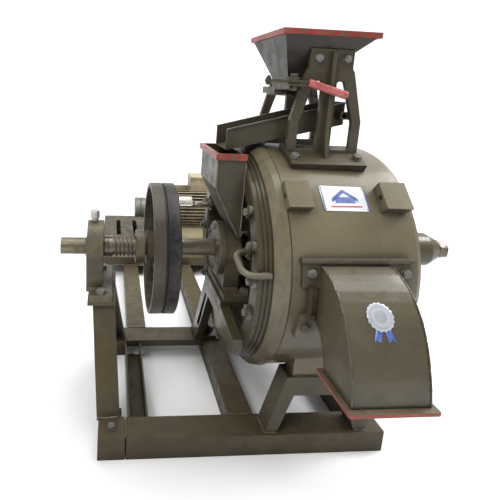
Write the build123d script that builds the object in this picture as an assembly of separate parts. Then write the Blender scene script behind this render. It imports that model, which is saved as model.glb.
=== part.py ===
from build123d import *
import os
from math import sin, cos, radians, degrees, atan2, sqrt, pi

# Hammer mill with a belt pulley drive, gravity feed and a slotted motor bed.
# Millimetres.  +X along the drive shaft from the pulley towards the drum,
# +Y from the discharge side back to the motor, +Z up.  The origin is on the
# floor, under the shaft axis, in the plane of the pulley's outer face.

# ---------------------------------------------------------------- dimensions
SHAFT_Z = 484.0          # shaft axis above the floor
SHAFT_R = 25.0
SHAFT_X0, SHAFT_X1 = -255.0, 925.0
RUN = 0.06               # radial running clearance of the shaft

RAIL_H = 60.0
RAIL_W = 75.0
RAIL_T = 6.0
BASE_X0, BASE_X1 = -132.0, 640.0
FRONT_Y = -254.0         # front face of the front rail
MID_Y0, MID_Y1 = 175.0, 258.0
MID_H = 23.0
REAR_Y1 = 1505.0         # rear face of the rear rail
LEFT_X0, LEFT_X1 = -40.0, 29.0
CEN_X0, CEN_X1 = 229.0, 299.0
RIGHT_X0, RIGHT_X1 = 570.0, 640.0

PULLEY_R, PULLEY_W = 190.0, 71.0
DRUM_X0, DRUM_X1 = 265.0, 633.0
DRUM_R0, DRUM_R1 = 321.0, 312.0     # casing radius at the feed and tail ends
DRUM_T = 10.0
COVER_X0 = 232.0
COVER_R = 297.0
COVER_BORE = 42.0

PLAT_X0, PLAT_X1 = -150.0, 600.0
PLAT_Y0, PLAT_Y1 = 818.0, 1505.0
PLAT_Z = 103.0
MOTOR_Y, MOTOR_Z, MOTOR_R = 1180.0, 258.0, 128.0
MOTOR_SLIDE = 60.0

HOP_X0, HOP_X1 = 298.0, 556.0
HOP_Y0, HOP_Y1 = -142.0, 122.0
HOP_Z = 1109.0
THR_X0, THR_X1 = 350.0, 420.0
THR_Y0, THR_Y1 = -66.0, 46.0
THR_TOP, THR_BOT = 990.0, 948.0

TRES_X = 442.0           # centre of the trestles
TRES_Y = 111.0           # plane of each trestle, front and rear

# rotor
PIN_R = 155.0
PIN_D = 18.0
DISC_R = 176.0
DISC_X = (324.0, 390.0, 456.0, 522.0, 588.0)
DISC_T = 8.0
HAM_LEN = 110.0          # pin centre to hammer tip
HAM_W, HAM_T = 40.0, 8.0

# outlet chute, side profile of its front wall (y, z)
CH_X0, CH_X1 = 368.0, 536.0
CH_T = 5.0
LIP_Z0, LIP_Z1 = 336.0, 344.0

os.makedirs("parts", exist_ok=True)
N = {}                   # node name -> shape


# ------------------------------------------------------------------- helpers
def bx(x0, x1, y0, y1, z0, z1):
    return Pos((x0 + x1) / 2, (y0 + y1) / 2, (z0 + z1) / 2) * Box(
        abs(x1 - x0), abs(y1 - y0), abs(z1 - z0))


def xc(x0, x1, r, y=0.0, z=SHAFT_Z):
    return Pos((x0 + x1) / 2, y, z) * Rot(0, 90, 0) * Cylinder(r, abs(x1 - x0))


def yc(y0, y1, r, x=0.0, z=0.0):
    return Pos(x, (y0 + y1) / 2, z) * Rot(90, 0, 0) * Cylinder(r, abs(y1 - y0))


def zc(z0, z1, r, x=0.0, y=0.0):
    return Pos(x, y, (z0 + z1) / 2) * Cylinder(r, abs(z1 - z0))


def prism(pts3, vec):
    f = make_face(Polyline(*[Vector(*p) for p in pts3], close=True))
    v = Vector(*vec)
    return extrude(f, amount=v.length, dir=v.normalized())


def xz(pts, y0, y1):
    return prism([(x, y0, z) for x, z in pts], (0, y1 - y0, 0))


def yz(pts, x0, x1):
    return prism([(x0, y, z) for y, z in pts], (x1 - x0, 0, 0))


def xy(pts, z0, z1):
    return prism([(x, y, z0) for x, y in pts], (0, 0, z1 - z0))


def rev_x(profile, z=SHAFT_Z, y=0.0):
    f = make_face(Polyline(*[Vector(x, y, z + r) for x, r in profile], close=True))
    return revolve(f, Axis((0, y, z), (1, 0, 0)), 360)


def hull(pts):
    return ConvexPolyhedron([Vector(*p) for p in pts])


def soft(shape, edges, r, op=fillet):
    """Round the given edges where the size allows, else leave them sharp."""
    for k in (1.0, 0.5):
        try:
            out = op(edges, r * k)
            if out.is_valid and out.volume > 0.8 * shape.volume:
                return out
        except Exception:
            pass
    return shape


def place(shape, p, d):
    """Put a shape built along +Z at p with its +Z along d."""
    return Plane(origin=Vector(*p), z_dir=Vector(*d)).location * shape


def hexbolt(p, d, af=19.0, head=8.0, r=6.0, shank=20.0, washer=12.0):
    """Hex head with washer on the surface at p, outward normal d."""
    h = extrude(RegularPolygon(af / 2, 6, major_radius=False), head)
    b = Pos(0, 0, 2.0) * h
    b = soft(b, b.edges().group_by(Axis.Z)[-1], 1.0, chamfer)
    b += Pos(0, 0, 1.0) * Cylinder(washer, 2.0)
    b += Pos(0, 0, -shank / 2 + 0.5) * Cylinder(r, shank + 1.0)
    return place(b, p, d)


def shank(p, d, r=6.0, length=20.0, out=60.0):
    """Hole cutter for a hexbolt: below the surface, and clear above it."""
    return place(Pos(0, 0, (out - length) / 2) * Cylinder(r, length + out), p, d)


def group(*shapes):
    out = []
    for s in shapes:
        out += list(s.solids())
    return Compound(children=out) if len(out) > 1 else out[0]


def tube_path(pts, radii, r):
    path = FilletPolyline(*[Vector(*p) for p in pts], radius=radii)
    prof = Plane(origin=path @ 0, z_dir=path % 0) * Circle(r)
    return sweep(prof, path)


hexes = []               # identical M12 fasteners


def bolt(p, d, *targets):
    """Add an M12 hex bolt and drill its hole in the named nodes."""
    hexes.append(hexbolt(p, d))
    for t in targets:
        N[t] = N[t] - shank(p, d, out=0.0)


# --------------------------------------------------------------- base frame
def rail_x(x0, x1, y0, y1, z0=0.0, z1=RAIL_H, t=RAIL_T):
    """Channel lying along X, web up, open below and closed at the ends."""
    s = bx(x0, x1, y0, y1, z0, z1)
    return s - bx(x0 + t, x1 - t, y0 + t, y1 - t, z0 - 1, z1 - t)


N["front_rail"] = rail_x(-58, BASE_X1, FRONT_Y, FRONT_Y + RAIL_W)
N["centre_rail"] = (bx(CEN_X0, CEN_X1, FRONT_Y + RAIL_W, 1430, 0, RAIL_H)
                    - bx(CEN_X0 + 6, CEN_X1 - 6, FRONT_Y + RAIL_W - 1, 1431, -1, RAIL_H - 6))
N["right_rail"] = (bx(RIGHT_X0, RIGHT_X1, FRONT_Y + RAIL_W, 1430, 0, RAIL_H)
                   - bx(RIGHT_X0 + 6, RIGHT_X1 - 6, FRONT_Y + RAIL_W - 1, 1431, -1, RAIL_H - 6))
# the left rail has its web up behind the middle rail and is a narrower
# channel, open upwards, in the front bay
left_rear = (bx(LEFT_X0, LEFT_X1, MID_Y1, 1430, 0, RAIL_H)
             - bx(LEFT_X0 + 6, LEFT_X1 - 6, MID_Y1 - 1, 1431, -1, RAIL_H - 6))
left_front = (bx(-50, 5, FRONT_Y + RAIL_W, MID_Y0, 0, 52)
              - bx(-45, 0, FRONT_Y + RAIL_W - 1, MID_Y0 + 1, 6, 60))
N["left_rail"] = group(left_rear, left_front)
segs = []
for a, b in ((-112, LEFT_X0), (LEFT_X0, CEN_X0), (CEN_X1, RIGHT_X0)):
    s = bx(a, b, MID_Y0, MID_Y1, RAIL_H - MID_H, RAIL_H)
    segs.append(s - bx(a + 5, b - 5, MID_Y0 + 5, MID_Y1 - 5, RAIL_H - MID_H - 1, RAIL_H - 6))
# the middle rail's left foot, under the rear leg of the shaft stand
segs.append(bx(-112, -50.1, MID_Y0 + 4, MID_Y1 - 4, 0, RAIL_H - MID_H))
mid = segs[0] + segs[3]
N["middle_rail"] = group(mid, segs[1], segs[2])
N["rear_rail"] = rail_x(BASE_X0, BASE_X1, 1430, REAR_Y1)

# --------------------------------------------------- outboard shaft stand
# inclined channel legs, web outwards, joined by the seat plate
SEAT_Z = 358.0


def leg(yb0, yt0, sgn, xb, xt, w=62.0, zb=62.0, zt=346.0):
    """Inclined channel.  yb0/yt0: outer web face at bottom/top; sgn: inwards."""
    t = 6.0
    d = 34.0

    def pts(x_off0, x_off1, y_off0, y_off1):
        p = []
        for z, y, x in ((zb, yb0, xb), (zt, yt0, xt)):
            for xo in (x_off0, x_off1):
                for yo in (y_off0, y_off1):
                    p.append((x + xo, y + sgn * yo, z))
        return p
    return (hull(pts(0, w, 0, t)) + hull(pts(0, t, 0, d)) + hull(pts(w - t, w, 0, d)))


front_leg = leg(-181, -80, 1, -137, -158)
foot = bx(-132, -62, FRONT_Y, FRONT_Y + RAIL_W, 0, 62) - bx(-125, -69, FRONT_Y + 7, FRONT_Y + RAIL_W - 7, -1, 54)
foot += bx(-137, -69, -181, -147, 54, 62)
N["stand_front_leg"] = front_leg + foot
rear_leg = leg(214, 80, -1, -112, -158, zb=RAIL_H)
seat = bx(-172, -93, -98, 98, 346, SEAT_Z)
N["stand_rear_leg"] = rear_leg + seat

# ------------------------------------------------------------- drum cradles


def cradle(y0, y1):
    z0, z1 = RAIL_H, 224.0
    xl_b, xl_t, xr_b, xr_t = 309.0, 355.0, 589.0, 543.0
    w = 33.0
    s = bx(xl_t, xr_t, y0, y1, 170, z1)
    s -= bx(xl_t + 40, xr_t - 40, y0 + 7, y1 - 7, 163, z1 - 7)
    s += hull([(x, y, z) for y in (y0, y1) for x, z in
               ((xl_b, z0), (xl_b + w, z0), (xl_t, z1), (xl_t + w + 8, z1))])
    s += hull([(x, y, z) for y in (y0, y1) for x, z in
               ((xr_b - w, z0), (xr_b, z0), (xr_t - w - 8, z1), (xr_t, z1))])
    return s


CR_F = (-246.0, -190.0)
CR_R = (190.0, 246.0)
N["drum_cradles"] = group(cradle(*CR_F), cradle(*CR_R))

# ----------------------------------------------------- drive line pedestals
PED_R = 76.0
FOOT_Z0, FOOT_Z1 = SEAT_Z, 376.0


def pedestal(x0, x1, fx0, fx1, rad=PED_R):
    b = xc(x0, x1, rad)
    b += yz([(-rad, SHAFT_Z), (rad, SHAFT_Z), (62, FOOT_Z1 + 8), (70, FOOT_Z1 - 2),
             (-70, FOOT_Z1 - 2), (-62, FOOT_Z1 + 8)], x0, x1)
    b = soft(b, b.edges().filter_by(GeomType.CIRCLE), 3.0)
    b += bx(fx0, fx1, -98, 98, FOOT_Z0, FOOT_Z1)
    return b


BR_OUT = 55.0            # bearing outer radius


def bearing(xm, w=30.0, ro=BR_OUT, to=9.0, ti=8.0):
    """Deep-groove ball bearing: outer ring, inner ring, cage ring with balls."""
    ri = SHAFT_R + RUN
    outer = xc(xm - w / 2, xm + w / 2, ro) - xc(xm - w, xm + w, ro - to)
    inner = xc(xm - w / 2, xm + w / 2, ri + ti) - xc(xm - w, xm + w, ri)
    rm = (ro - to + ri + ti) / 2
    rb = (ro - to - ri - ti) / 2
    cage = xc(xm - 4, xm + 4, rm + 3.0) - xc(xm - 5, xm + 5, rm - 3.0)
    for k in range(9):
        a = radians(40 * k)
        cage += Pos(xm, rm * cos(a), SHAFT_Z + rm * sin(a)) * Sphere(rb)
    cage = cage - (xc(xm - w, xm + w, 70) - xc(xm - w - 1, xm + w + 1, ro - to))
    cage = cage - xc(xm - w, xm + w, ri + ti)
    return outer, inner, cage


out_ped = pedestal(-178, -132, -168, -104)
out_ped -= xc(-171, -139, BR_OUT) + xc(-180, -130, 34)
IN_X0, IN_X1 = 224.0, 270.0
in_ped = pedestal(IN_X0 - 6, 262, 212, 290)
in_ped = in_ped - (xc(222, 254, BR_OUT) + xc(210, 265, 40))
TAIL_M = 838.0
bear = []
TAIL_R = 44.0
for m in (-155.0, 238.0):
    bear += list(bearing(m))
# the tail end runs in a plain bush
bear.append(xc(TAIL_M - 15, TAIL_M + 15, TAIL_R) - xc(TAIL_M - 20, TAIL_M + 20, SHAFT_R + RUN))
N["shaft_bearings"] = group(*bear)
N["outer_pedestal"] = out_ped
N["inner_pedestal"] = in_ped
cov = xc(199, 218, 79) - xc(190, 230, 27)
cov = soft(cov, cov.edges().group_by(Axis.X)[0], 3, chamfer)
cov -= xc(210, 230, 46)
ped_bolts = []
for k in range(6):
    a = radians(60 * k + 30)
    p = (199, 64 * cos(a), SHAFT_Z + 64 * sin(a))
    ped_bolts.append(hexbolt(p, (-1, 0, 0), af=10, head=5, r=4, shank=30, washer=6.5))
    cov -= shank(p, (-1, 0, 0), 4, 30, 0)
    N["inner_pedestal"] -= shank(p, (-1, 0, 0), 4, 30, 0)
N["inner_bearing_cover"] = cov

# foot bolts of the two pedestals, M16
big = []


def ped_bolt(p, *targets):
    big.append(hexbolt(p, (0, 0, 1), af=24, head=10, r=8, shank=28, washer=14))
    for t in targets:
        N[t] -= shank(p, (0, 0, 1), 8, 28, 0)


# inboard bracket: seat in front of the cover's dish, a leg back and down to
# the middle rail and an arm forward to a pad on the cover's rim
BX0, BX1 = 204.0, COVER_X0 - 0.2
br = bx(BX0, 288, -98, 98, 334, SEAT_Z)
br += bx(BX0, BX1, -98, 98, 300, 340)
br += hull([(x, y, z) for x in (BX0, BX1) for y, z in ((20, 345), (98, 345), (176, 70), (240, 70))])
br += hull([(x, y, z) for x in (BX0, BX1) for y, z in
            ((-98, 345), (20, 345), (-60, 268), (-100, 262), (-236, 296), (-236, 328))])
br += bx(BX0 - 4, 292, 178, 250, 60, 74)
br += hull([(x, y, z) for x in (BX0, 270) for y, z in ((206, 70), (216, 70))]
           + [(x, y, z) for x in (BX0, BX1) for y, z in ((186, 150), (196, 150))])
br -= hull([(x, y, z) for x in (190, 250) for y, z in ((66, 292), (84, 292), (146, 130), (176, 130), (100, 240))])
br -= xc(150, 400, 52)
N["inner_bracket"] = br
ped_bolt((-136, -84, FOOT_Z1), "outer_pedestal", "stand_rear_leg")
ped_bolt((-136, 84, FOOT_Z1), "outer_pedestal", "stand_rear_leg")
ped_bolt((276, -84, FOOT_Z1), "inner_pedestal", "inner_bracket")
ped_bolt((276, 84, FOOT_Z1), "inner_pedestal", "inner_bracket")

# grease cup on the outboard pedestal
GX = -158.0
cup = zc(SHAFT_Z + 70, SHAFT_Z + 86, 7, GX)
cup += Pos(GX, 0, SHAFT_Z + 80) * extrude(RegularPolygon(10, 6), 6)
cup = cup - zc(SHAFT_Z + 60, SHAFT_Z + 95, 2.5, GX)
N["outer_pedestal"] -= zc(SHAFT_Z + 50, SHAFT_Z + 80, 7, GX)
cup += zc(SHAFT_Z + 86, SHAFT_Z + 98, 6, GX) - zc(SHAFT_Z + 60, SHAFT_Z + 99, 2.5, GX)
N["grease_cup_body"] = cup
cap = zc(SHAFT_Z + 87, SHAFT_Z + 108, 12.5, GX)
for k in range(24):
    a = radians(15 * k)
    cap -= zc(SHAFT_Z + 80, SHAFT_Z + 104, 0.9, GX + 12.7 * cos(a), 12.7 * sin(a))
cap = cap - zc(SHAFT_Z + 80, SHAFT_Z + 100, 6.3, GX)
N["grease_cup_cap"] = cap

# ----------------------------------------------------------------- the shaft
shaft = xc(-182, SHAFT_X1, SHAFT_R) + xc(SHAFT_X0, -182, SHAFT_R - 1)     # turned-down stub outboard
shaft = soft(shaft, shaft.edges().filter_by(GeomType.CIRCLE), 2.0, chamfer)
KEY = bx(4, 66, -6, 6, SHAFT_Z + 18, SHAFT_Z + 30)
shaft -= bx(4, 66, -6, 6, SHAFT_Z + 18, SHAFT_Z + 40)
N["drive_shaft"] = shaft
N["pulley_key"] = KEY

# pulley: flat two-band rim with a centre groove, four spokes and a hub
R0 = PULLEY_R
rim = rev_x([(0, R0 - 13), (0, R0 - 2), (2, R0), (31, R0), (33, R0 - 5), (36, R0 - 5),
             (38, R0), (PULLEY_W - 2, R0), (PULLEY_W, R0 - 2), (PULLEY_W, R0 - 13),
             (40, R0 - 15), (40, R0 - 24), (31, R0 - 24), (31, R0 - 15)])
hub = xc(-5, 78, 48) - xc(-6, 80, SHAFT_R)
spokes = []
for k in range(4):
    a = 45 + 90 * k
    sp = hull([(x, y, z) for x, y, z in
               ((26, -22, 40), (45, -22, 40), (26, 22, 40), (45, 22, 40),
                (29, -15, R0 - 18), (42, -15, R0 - 18), (29, 15, R0 - 18), (42, 15, R0 - 18))])
    spokes.append(Pos(0, 0, SHAFT_Z) * Rot(a, 0, 0) * sp)
pul = rim + hub
for s in spokes:
    pul += s
pul -= xc(-10, 90, SHAFT_R)
pul -= bx(4, 66, -6, 6, SHAFT_Z + 18, SHAFT_Z + 30)
N["mill_pulley"] = pul

# lock rings, spring and collar between the pulley and the outboard bearing
rings = []
for a, b, r in ((-128, -119, 31), (-117, -107, 31)):
    g = xc(a, b, r) - xc(a - 1, b + 1, SHAFT_R)
    for k in range(4):
        g -= Pos(0, 0, SHAFT_Z) * Rot(90 * k + 20, 0, 0) * bx(a - 1, b + 1, -3, 3, r - 3, r + 5)
    rings.append(g)
nut = (Pos(0, 0, 0) * place(extrude(RegularPolygon(30, 6), 25), (912, 0, SHAFT_Z), (1, 0, 0)))
nut = nut - xc(900, 950, SHAFT_R)
nut += xc(SHAFT_X1, 943, 16)
nut = nut + (xc(925, 937, 27) - xc(924, 925, 1))
rings.append(nut)
N["lock_rings"] = group(*rings)
N["spring_collar"] = xc(-38, -13, 49) - xc(-40, 0, SHAFT_R + RUN)
SP_X0, SP_X1 = -106.5, -38.5
hx = Helix(pitch=(SP_X1 - SP_X0 - 5.0) / 5.5, height=SP_X1 - SP_X0 - 5.0, radius=28.6)
spr = sweep(Plane(origin=hx @ 0, z_dir=hx % 0) * Circle(2.4), hx, is_frenet=True)
N["thrust_spring"] = Pos(SP_X0 + 2.5, 0, SHAFT_Z) * Rot(0, 90, 0) * spr

# --------------------------------------------------------------------- drum
cas = rev_x([(DRUM_X0, DRUM_R0 - DRUM_T - 4), (DRUM_X0, 306), (DRUM_X0 + 18, 322),
             (300, 325), (300.5, DRUM_R0 - 1.5), (304, DRUM_R0 - 1.5), (304.5, DRUM_R0),
             (DRUM_X1 - 16, DRUM_R1 + 0.5), (DRUM_X1 - 5, DRUM_R1 - 4), (DRUM_X1, DRUM_R1 - 14),
             (DRUM_X1, DRUM_R1 - DRUM_T - 14), (DRUM_X1 - 22, DRUM_R1 - DRUM_T - 2)])
# the drum's bosses: two lifting lugs on the upper front, one lug below the
# chute flange, and feet on the cradles


def ring_block(x0, x1, a0, a1, r0, r1, steps=5):
    """Block on the drum between angles a0..a1 (degrees above the -Y axis)."""
    pts = []
    for i in range(steps + 1):
        a = radians(a0 + (a1 - a0) * i / steps)
        pts.append((-r1 * cos(a), SHAFT_Z + r1 * sin(a)))
    for i in range(steps, -1, -1):
        a = radians(a0 + (a1 - a0) * i / steps)
        pts.append((-r0 * cos(a), SHAFT_Z + r0 * sin(a)))
    return yz(pts, x0, x1)


def flat_lug(x0, x1, a0, a1, r1):
    am = radians((a0 + a1) / 2)
    b = ring_block(x0, x1, a0, a1, 308, r1 + 8, 3)
    cut = place(Pos(0, 0, 50) * Box(400, 400, 100), (0, -r1 * cos(am), SHAFT_Z + r1 * sin(am)),
                (0, -cos(am), sin(am)))
    b = b - Pos((x0 + x1) / 2, 0, 0) * cut
    return b


lugs = [flat_lug(299, 360, 37.0, 49.0, 344), flat_lug(540, 606, 37.0, 49.0, 344),
        flat_lug(299, 360, 131.0, 143.0, 344), flat_lug(540, 606, 131.0, 143.0, 344)]
for lug, am in zip(lugs, (43, 43, 137, 137)):
    a = radians(am)
    lugp = (0, -330 * cos(a), SHAFT_Z + 330 * sin(a))
    hole = xc(290, 312, 7, lugp[1], lugp[2]) + xc(532, 554, 7, lugp[1], lugp[2])
    cas = cas + (lug - hole)
low = flat_lug(326, 364, -18.0, -6.5, 330)
cas = cas + low
for sy in (-1, 1):
    # foot pads over the cradles
    pad = bx(372, 526, min(sy * 190, sy * 240), max(sy * 190, sy * 240), 224, 300)
    pad = pad - xc(300, 600, 314)
    cas = cas + pad
cas = cas - rev_x([(DRUM_X0 - 1, 0), (DRUM_X0 - 1, DRUM_R0 - DRUM_T - 4), (DRUM_X0 + 10, DRUM_R0 - DRUM_T - 4),
                   (DRUM_X1 - 22, DRUM_R1 - DRUM_T - 2), (DRUM_X1 - 22, 0)])
# discharge opening through the front wall
OUT_Z0, OUT_Z1 = 432.0, 544.0
cas = cas - bx(CH_X0 + 8, CH_X1 - 8, -345, -250, OUT_Z0, OUT_Z1)
N["drum_casing"] = cas.solids().sort_by(SortBy.VOLUME)[-1]

cover = rev_x([(COVER_X0, 250), (COVER_X0, COVER_R - 3), (COVER_X0 + 3, COVER_R), (243, COVER_R),
               (244, COVER_R - 1), (246, COVER_R - 1), (247, COVER_R + 2), (253, COVER_R + 2),
               (254, COVER_R + 1), (256, COVER_R + 1), (257, COVER_R + 5), (DRUM_X0, COVER_R + 5),
               (DRUM_X0, DRUM_R0 - DRUM_T - 5), (277, DRUM_R0 - DRUM_T - 5), (277, 262), (303, 252),
               (303, COVER_BORE), (294, COVER_BORE), (294, 240), (289, 244), (240, 248)])
EYE = bx(200, 310, -100, 20, 575, 690)
cover -= EYE
# bosses under the clamp bolts
cb = []
CB_R = 270.0
for k in range(20):
    a = 18 * k + 22
    y, z = -CB_R * cos(radians(a)), SHAFT_Z + CB_R * sin(radians(a))
    if -165 < y < 90 and z > 540:
        continue
    if z < 345 and (-236 < y < -90 or 60 < y < 160):
        continue
    cb.append((y, z, a))
clamps = []
for y, z, a in cb:
    p = (COVER_X0, y, z)
    clamp = extrude(SlotOverall(44, 24), 9)
    clamp = Pos(0, 0, 0) * clamp
    c = Plane(origin=Vector(*p), x_dir=Vector(0, -cos(radians(a)), sin(radians(a))),
              z_dir=Vector(-1, 0, 0)).location * clamp
    h = hexbolt((COVER_X0 - 9, y, z), (-1, 0, 0), af=17, head=7, r=5, shank=40, washer=10)
    clamps.append(c + h)
    cover -= shank(p, (-1, 0, 0), 5, 31.5, 0)
N["cover_bolts"] = group(*clamps)

# pull handles: bent round bar, one at the front, one behind.  The upper end
# stands on a cast boss of the dish, the lower end is saddled over the rim.
handles = []
RIM = rev_x([(COVER_X0, 0), (COVER_X0, COVER_R - 3), (COVER_X0 + 3, COVER_R + 0.1), (246, COVER_R + 0.1),
             (247, COVER_R + 2.1), (256, COVER_R + 2.1), (257, COVER_R + 5.1), (DRUM_X0, COVER_R + 5.1), (DRUM_X0, 0)])
for sy in (-1, 1):
    ya, za, yb, zb = sy * 214.0, 556.0, sy * 301.5, 532.0
    h = tube_path([(COVER_X0 - 3, ya, za), (COVER_X0 - 36, ya, za), (COVER_X0 - 36, yb, zb),
                   (261, yb, zb)], 28, 8.0)
    h += xc(COVER_X0 - 6, COVER_X0, 14, ya, za)
    h = h - RIM
    h = h.solids().sort_by(SortBy.VOLUME)[-1]
    handles.append(h)
    cover += xc(COVER_X0, 298, 20, ya, za)
N["cover_handles"] = group(*handles)
N["feed_cover"] = cover

# tail wall of the drum and the tail bearing bracket
back = rev_x([(DRUM_X1 - 22, 40), (DRUM_X1 - 22, DRUM_R1 - DRUM_T - 2.1), (DRUM_X1 - 6, DRUM_R1 - DRUM_T - 11.5),
              (DRUM_X1 - 4, 200), (DRUM_X1 + 4, 190), (DRUM_X1 + 4, 40)])
N["back_cover"] = back
tail = rev_x([(DRUM_X1 + 4, 60), (DRUM_X1 + 4, 150), (DRUM_X1 + 16, 150), (DRUM_X1 + 20, 84),
              (790, 54), (800, 53), (868, 51), (874, 48), (905, 33), (905, 30), (866, 32), (860, 42),
              (800, 42), (DRUM_X1 + 30, 64)])
for k in range(4):
    a = 90 * k + 45
    web = Pos(0, 0, SHAFT_Z) * Rot(a, 0, 0) * xz([(DRUM_X1 + 14, 70), (DRUM_X1 + 14, 142), (DRUM_X1 + 24, 142),
                                               (800, 58), (800, 48)], -6, 6)
    tail += web
tail = tail - xc(TAIL_M - 15, TAIL_M + 18, TAIL_R)
N["tail_bracket"] = tail

# ------------------------------------------------------------------- rotor
discs = []
for xm in DISC_X:
    d = xc(xm - DISC_T / 2, xm + DISC_T / 2, DISC_R) - xc(xm - 10, xm + 10, SHAFT_R)
    for k in range(4):
        a = radians(90 * k + 45)
        d -= xc(xm - 10, xm + 10, PIN_D / 2, PIN_R * cos(a), SHAFT_Z + PIN_R * sin(a))
    for k in range(4):
        a = radians(90 * k)
        d -= xc(xm - 10, xm + 10, 26, 100 * cos(a), SHAFT_Z + 100 * sin(a))
    discs.append(d)
for a, b in zip(DISC_X[:-1], DISC_X[1:]):
    discs.append(xc(a + DISC_T / 2, b - DISC_T / 2, 34) - xc(a, b, SHAFT_R))
N["rotor_discs"] = group(*discs)
pins = []
for k in range(4):
    a = radians(90 * k + 45)
    y, z = PIN_R * cos(a), SHAFT_Z + PIN_R * sin(a)
    p = xc(DISC_X[0] - 7, DISC_X[-1] + 7, PIN_D / 2, y, z)
    p += xc(DISC_X[0] - 12, DISC_X[0] - DISC_T / 2, PIN_D / 2 + 4, y, z)
    p += xc(DISC_X[-1] + DISC_T / 2, DISC_X[-1] + 12, PIN_D / 2 + 4, y, z)
    pins.append(p)
N["hammer_pins"] = group(*pins)
HAMS = []
for k, nm in enumerate("abcd"):
    a = radians(90 * k + 45)
    y, z = PIN_R * cos(a), SHAFT_Z + PIN_R * sin(a)
    rows = []
    for i, (d0, d1) in enumerate(zip(DISC_X[:-1], DISC_X[1:])):
        xm = d0 + (0.33 if k % 2 == 0 else 0.67) * (d1 - d0)
        pl = yz([(y - HAM_W / 2, z + 22), (y + HAM_W / 2, z + 22), (y + HAM_W / 2, z - HAM_LEN),
                 (y - HAM_W / 2, z - HAM_LEN)], xm - HAM_T / 2, xm + HAM_T / 2)
        pl = soft(pl, pl.edges().filter_by(Axis.X), 3, chamfer)
        rows.append(pl - xc(xm - 10, xm + 10, PIN_D / 2 + 0.08, y, z))
    N["hammers_" + nm] = group(*rows)
    HAMS.append((nm, y, z))

# perforated screen round the lower rotor
SC_R = 290.0
scr = xc(DRUM_X0 + 16, DRUM_X1 - 26, SC_R) - xc(DRUM_X0, DRUM_X1, SC_R - 3)
scr = scr - bx(200, 700, -400, 400, SHAFT_Z + 40, SHAFT_Z + 400)
holes = []
for i in range(6):
    for j in range(9):
        a = radians(-8 - 20.5 * j)
        v = (0, -cos(a), sin(a))
        holes.append(place(Cylinder(9, 60), (300 + 58 * i, -SC_R * cos(a), SHAFT_Z + SC_R * sin(a)), v))
scr = scr - holes
# two end hoops that carry the screen in the casing
hoops = rev_x([(DRUM_X0 + 14, SC_R + 0.2), (DRUM_X0 + 14, DRUM_R0 - DRUM_T - 6.5), (DRUM_X0 + 26, DRUM_R0 - DRUM_T - 6.5),
               (DRUM_X0 + 26, SC_R + 0.2)])
hoops += rev_x([(DRUM_X1 - 36, SC_R + 0.2), (DRUM_X1 - 36, DRUM_R1 - DRUM_T - 2.6), (DRUM_X1 - 24, DRUM_R1 - DRUM_T - 2.6),
                (DRUM_X1 - 24, SC_R + 0.2)])
hoops = hoops - bx(200, 700, -400, 400, SHAFT_Z + 40, SHAFT_Z + 400)
N["screen"] = group(scr, hoops)

# ------------------------------------------------------------- outlet chute
DRUM_CONE = rev_x([(300, 0), (304.5, DRUM_R0 + 0.1), (DRUM_X1 - 16, DRUM_R1 + 0.6), (DRUM_X1, DRUM_R1), (DRUM_X1, 0)])
front_p = [(-322, 566), (-337, 564), (-352, 560), (-373, 552), (-392, 541), (-412, 526), (-430, 508), (-445, 489),
           (-458, 466), (-470, 442), (-480, 415), (-487, 394), (-493, 372), (-498, 344)]
rear_p = [(-384, 344), (-376, 372), (-352, 412), (-318, 436)]
outer_prof = [(-300, 566)] + front_p + rear_p + [(-300, 440)]
inner_front = [(y + 5.0, z - 4.0) for y, z in front_p[1:-1]] + [(-493, 343)]
inner_prof = [(-290, 557)] + [(-322, 557)] + inner_front + [(-493, 330), (-389, 330), (-389, 344), (-381, 375),
                                                            (-355, 418), (-320, 441), (-290, 446)]
ch = yz(outer_prof, CH_X0, CH_X1)
ch += ring_block(326, 590, 5.4, 17.0, 302, 326.5, 3)          # bolting flange
ch += ring_block(322, 594, 15.4, 17.4, 302, 333, 1)           # its raised top edge
ch += ring_block(CH_X0, CH_X1 + 14, -9.5, 6.0, 302, 325.5, 4)  # skirt below it
ch = ch - yz(inner_prof, CH_X0 + CH_T, CH_X1 - CH_T)
ch = ch - DRUM_CONE
ch = ch.solids().sort_by(SortBy.VOLUME)[-1]
lip = bx(CH_X0 - 12, CH_X1 + 12, -512, -372, LIP_Z0, LIP_Z1)
lip = soft(lip, lip.edges().filter_by(Axis.Z), 3)
lip = lip - bx(CH_X0 + CH_T, CH_X1 - CH_T, -493, -389, 300, 400)
N["outlet_chute"] = ch - bx(300, 600, -600, -300, 300, LIP_Z1)
N["outlet_lip"] = lip

# ------------------------------------------------------------------- hopper
ht = 3.0


def frustum(x0, x1, y0, y1, z1, a0, a1, b0, b1, z0):
    return hull([(x, y, z1) for x in (x0, x1) for y in (y0, y1)]
                + [(x, y, z0) for x in (a0, a1) for y in (b0, b1)])


hop = frustum(HOP_X0 + 8, HOP_X1 - 8, HOP_Y0 + 8, HOP_Y1 - 8, HOP_Z - 12, THR_X0, THR_X1, THR_Y0, THR_Y1, THR_TOP)
hin = frustum(HOP_X0 + 11.5, HOP_X1 - 11.5, HOP_Y0 + 11.5, HOP_Y1 - 11.5, HOP_Z - 11.9,
              THR_X0 + ht, THR_X1 - ht, THR_Y0 + ht, THR_Y1 - ht, THR_TOP - 0.1)
hop = hop - hin
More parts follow.
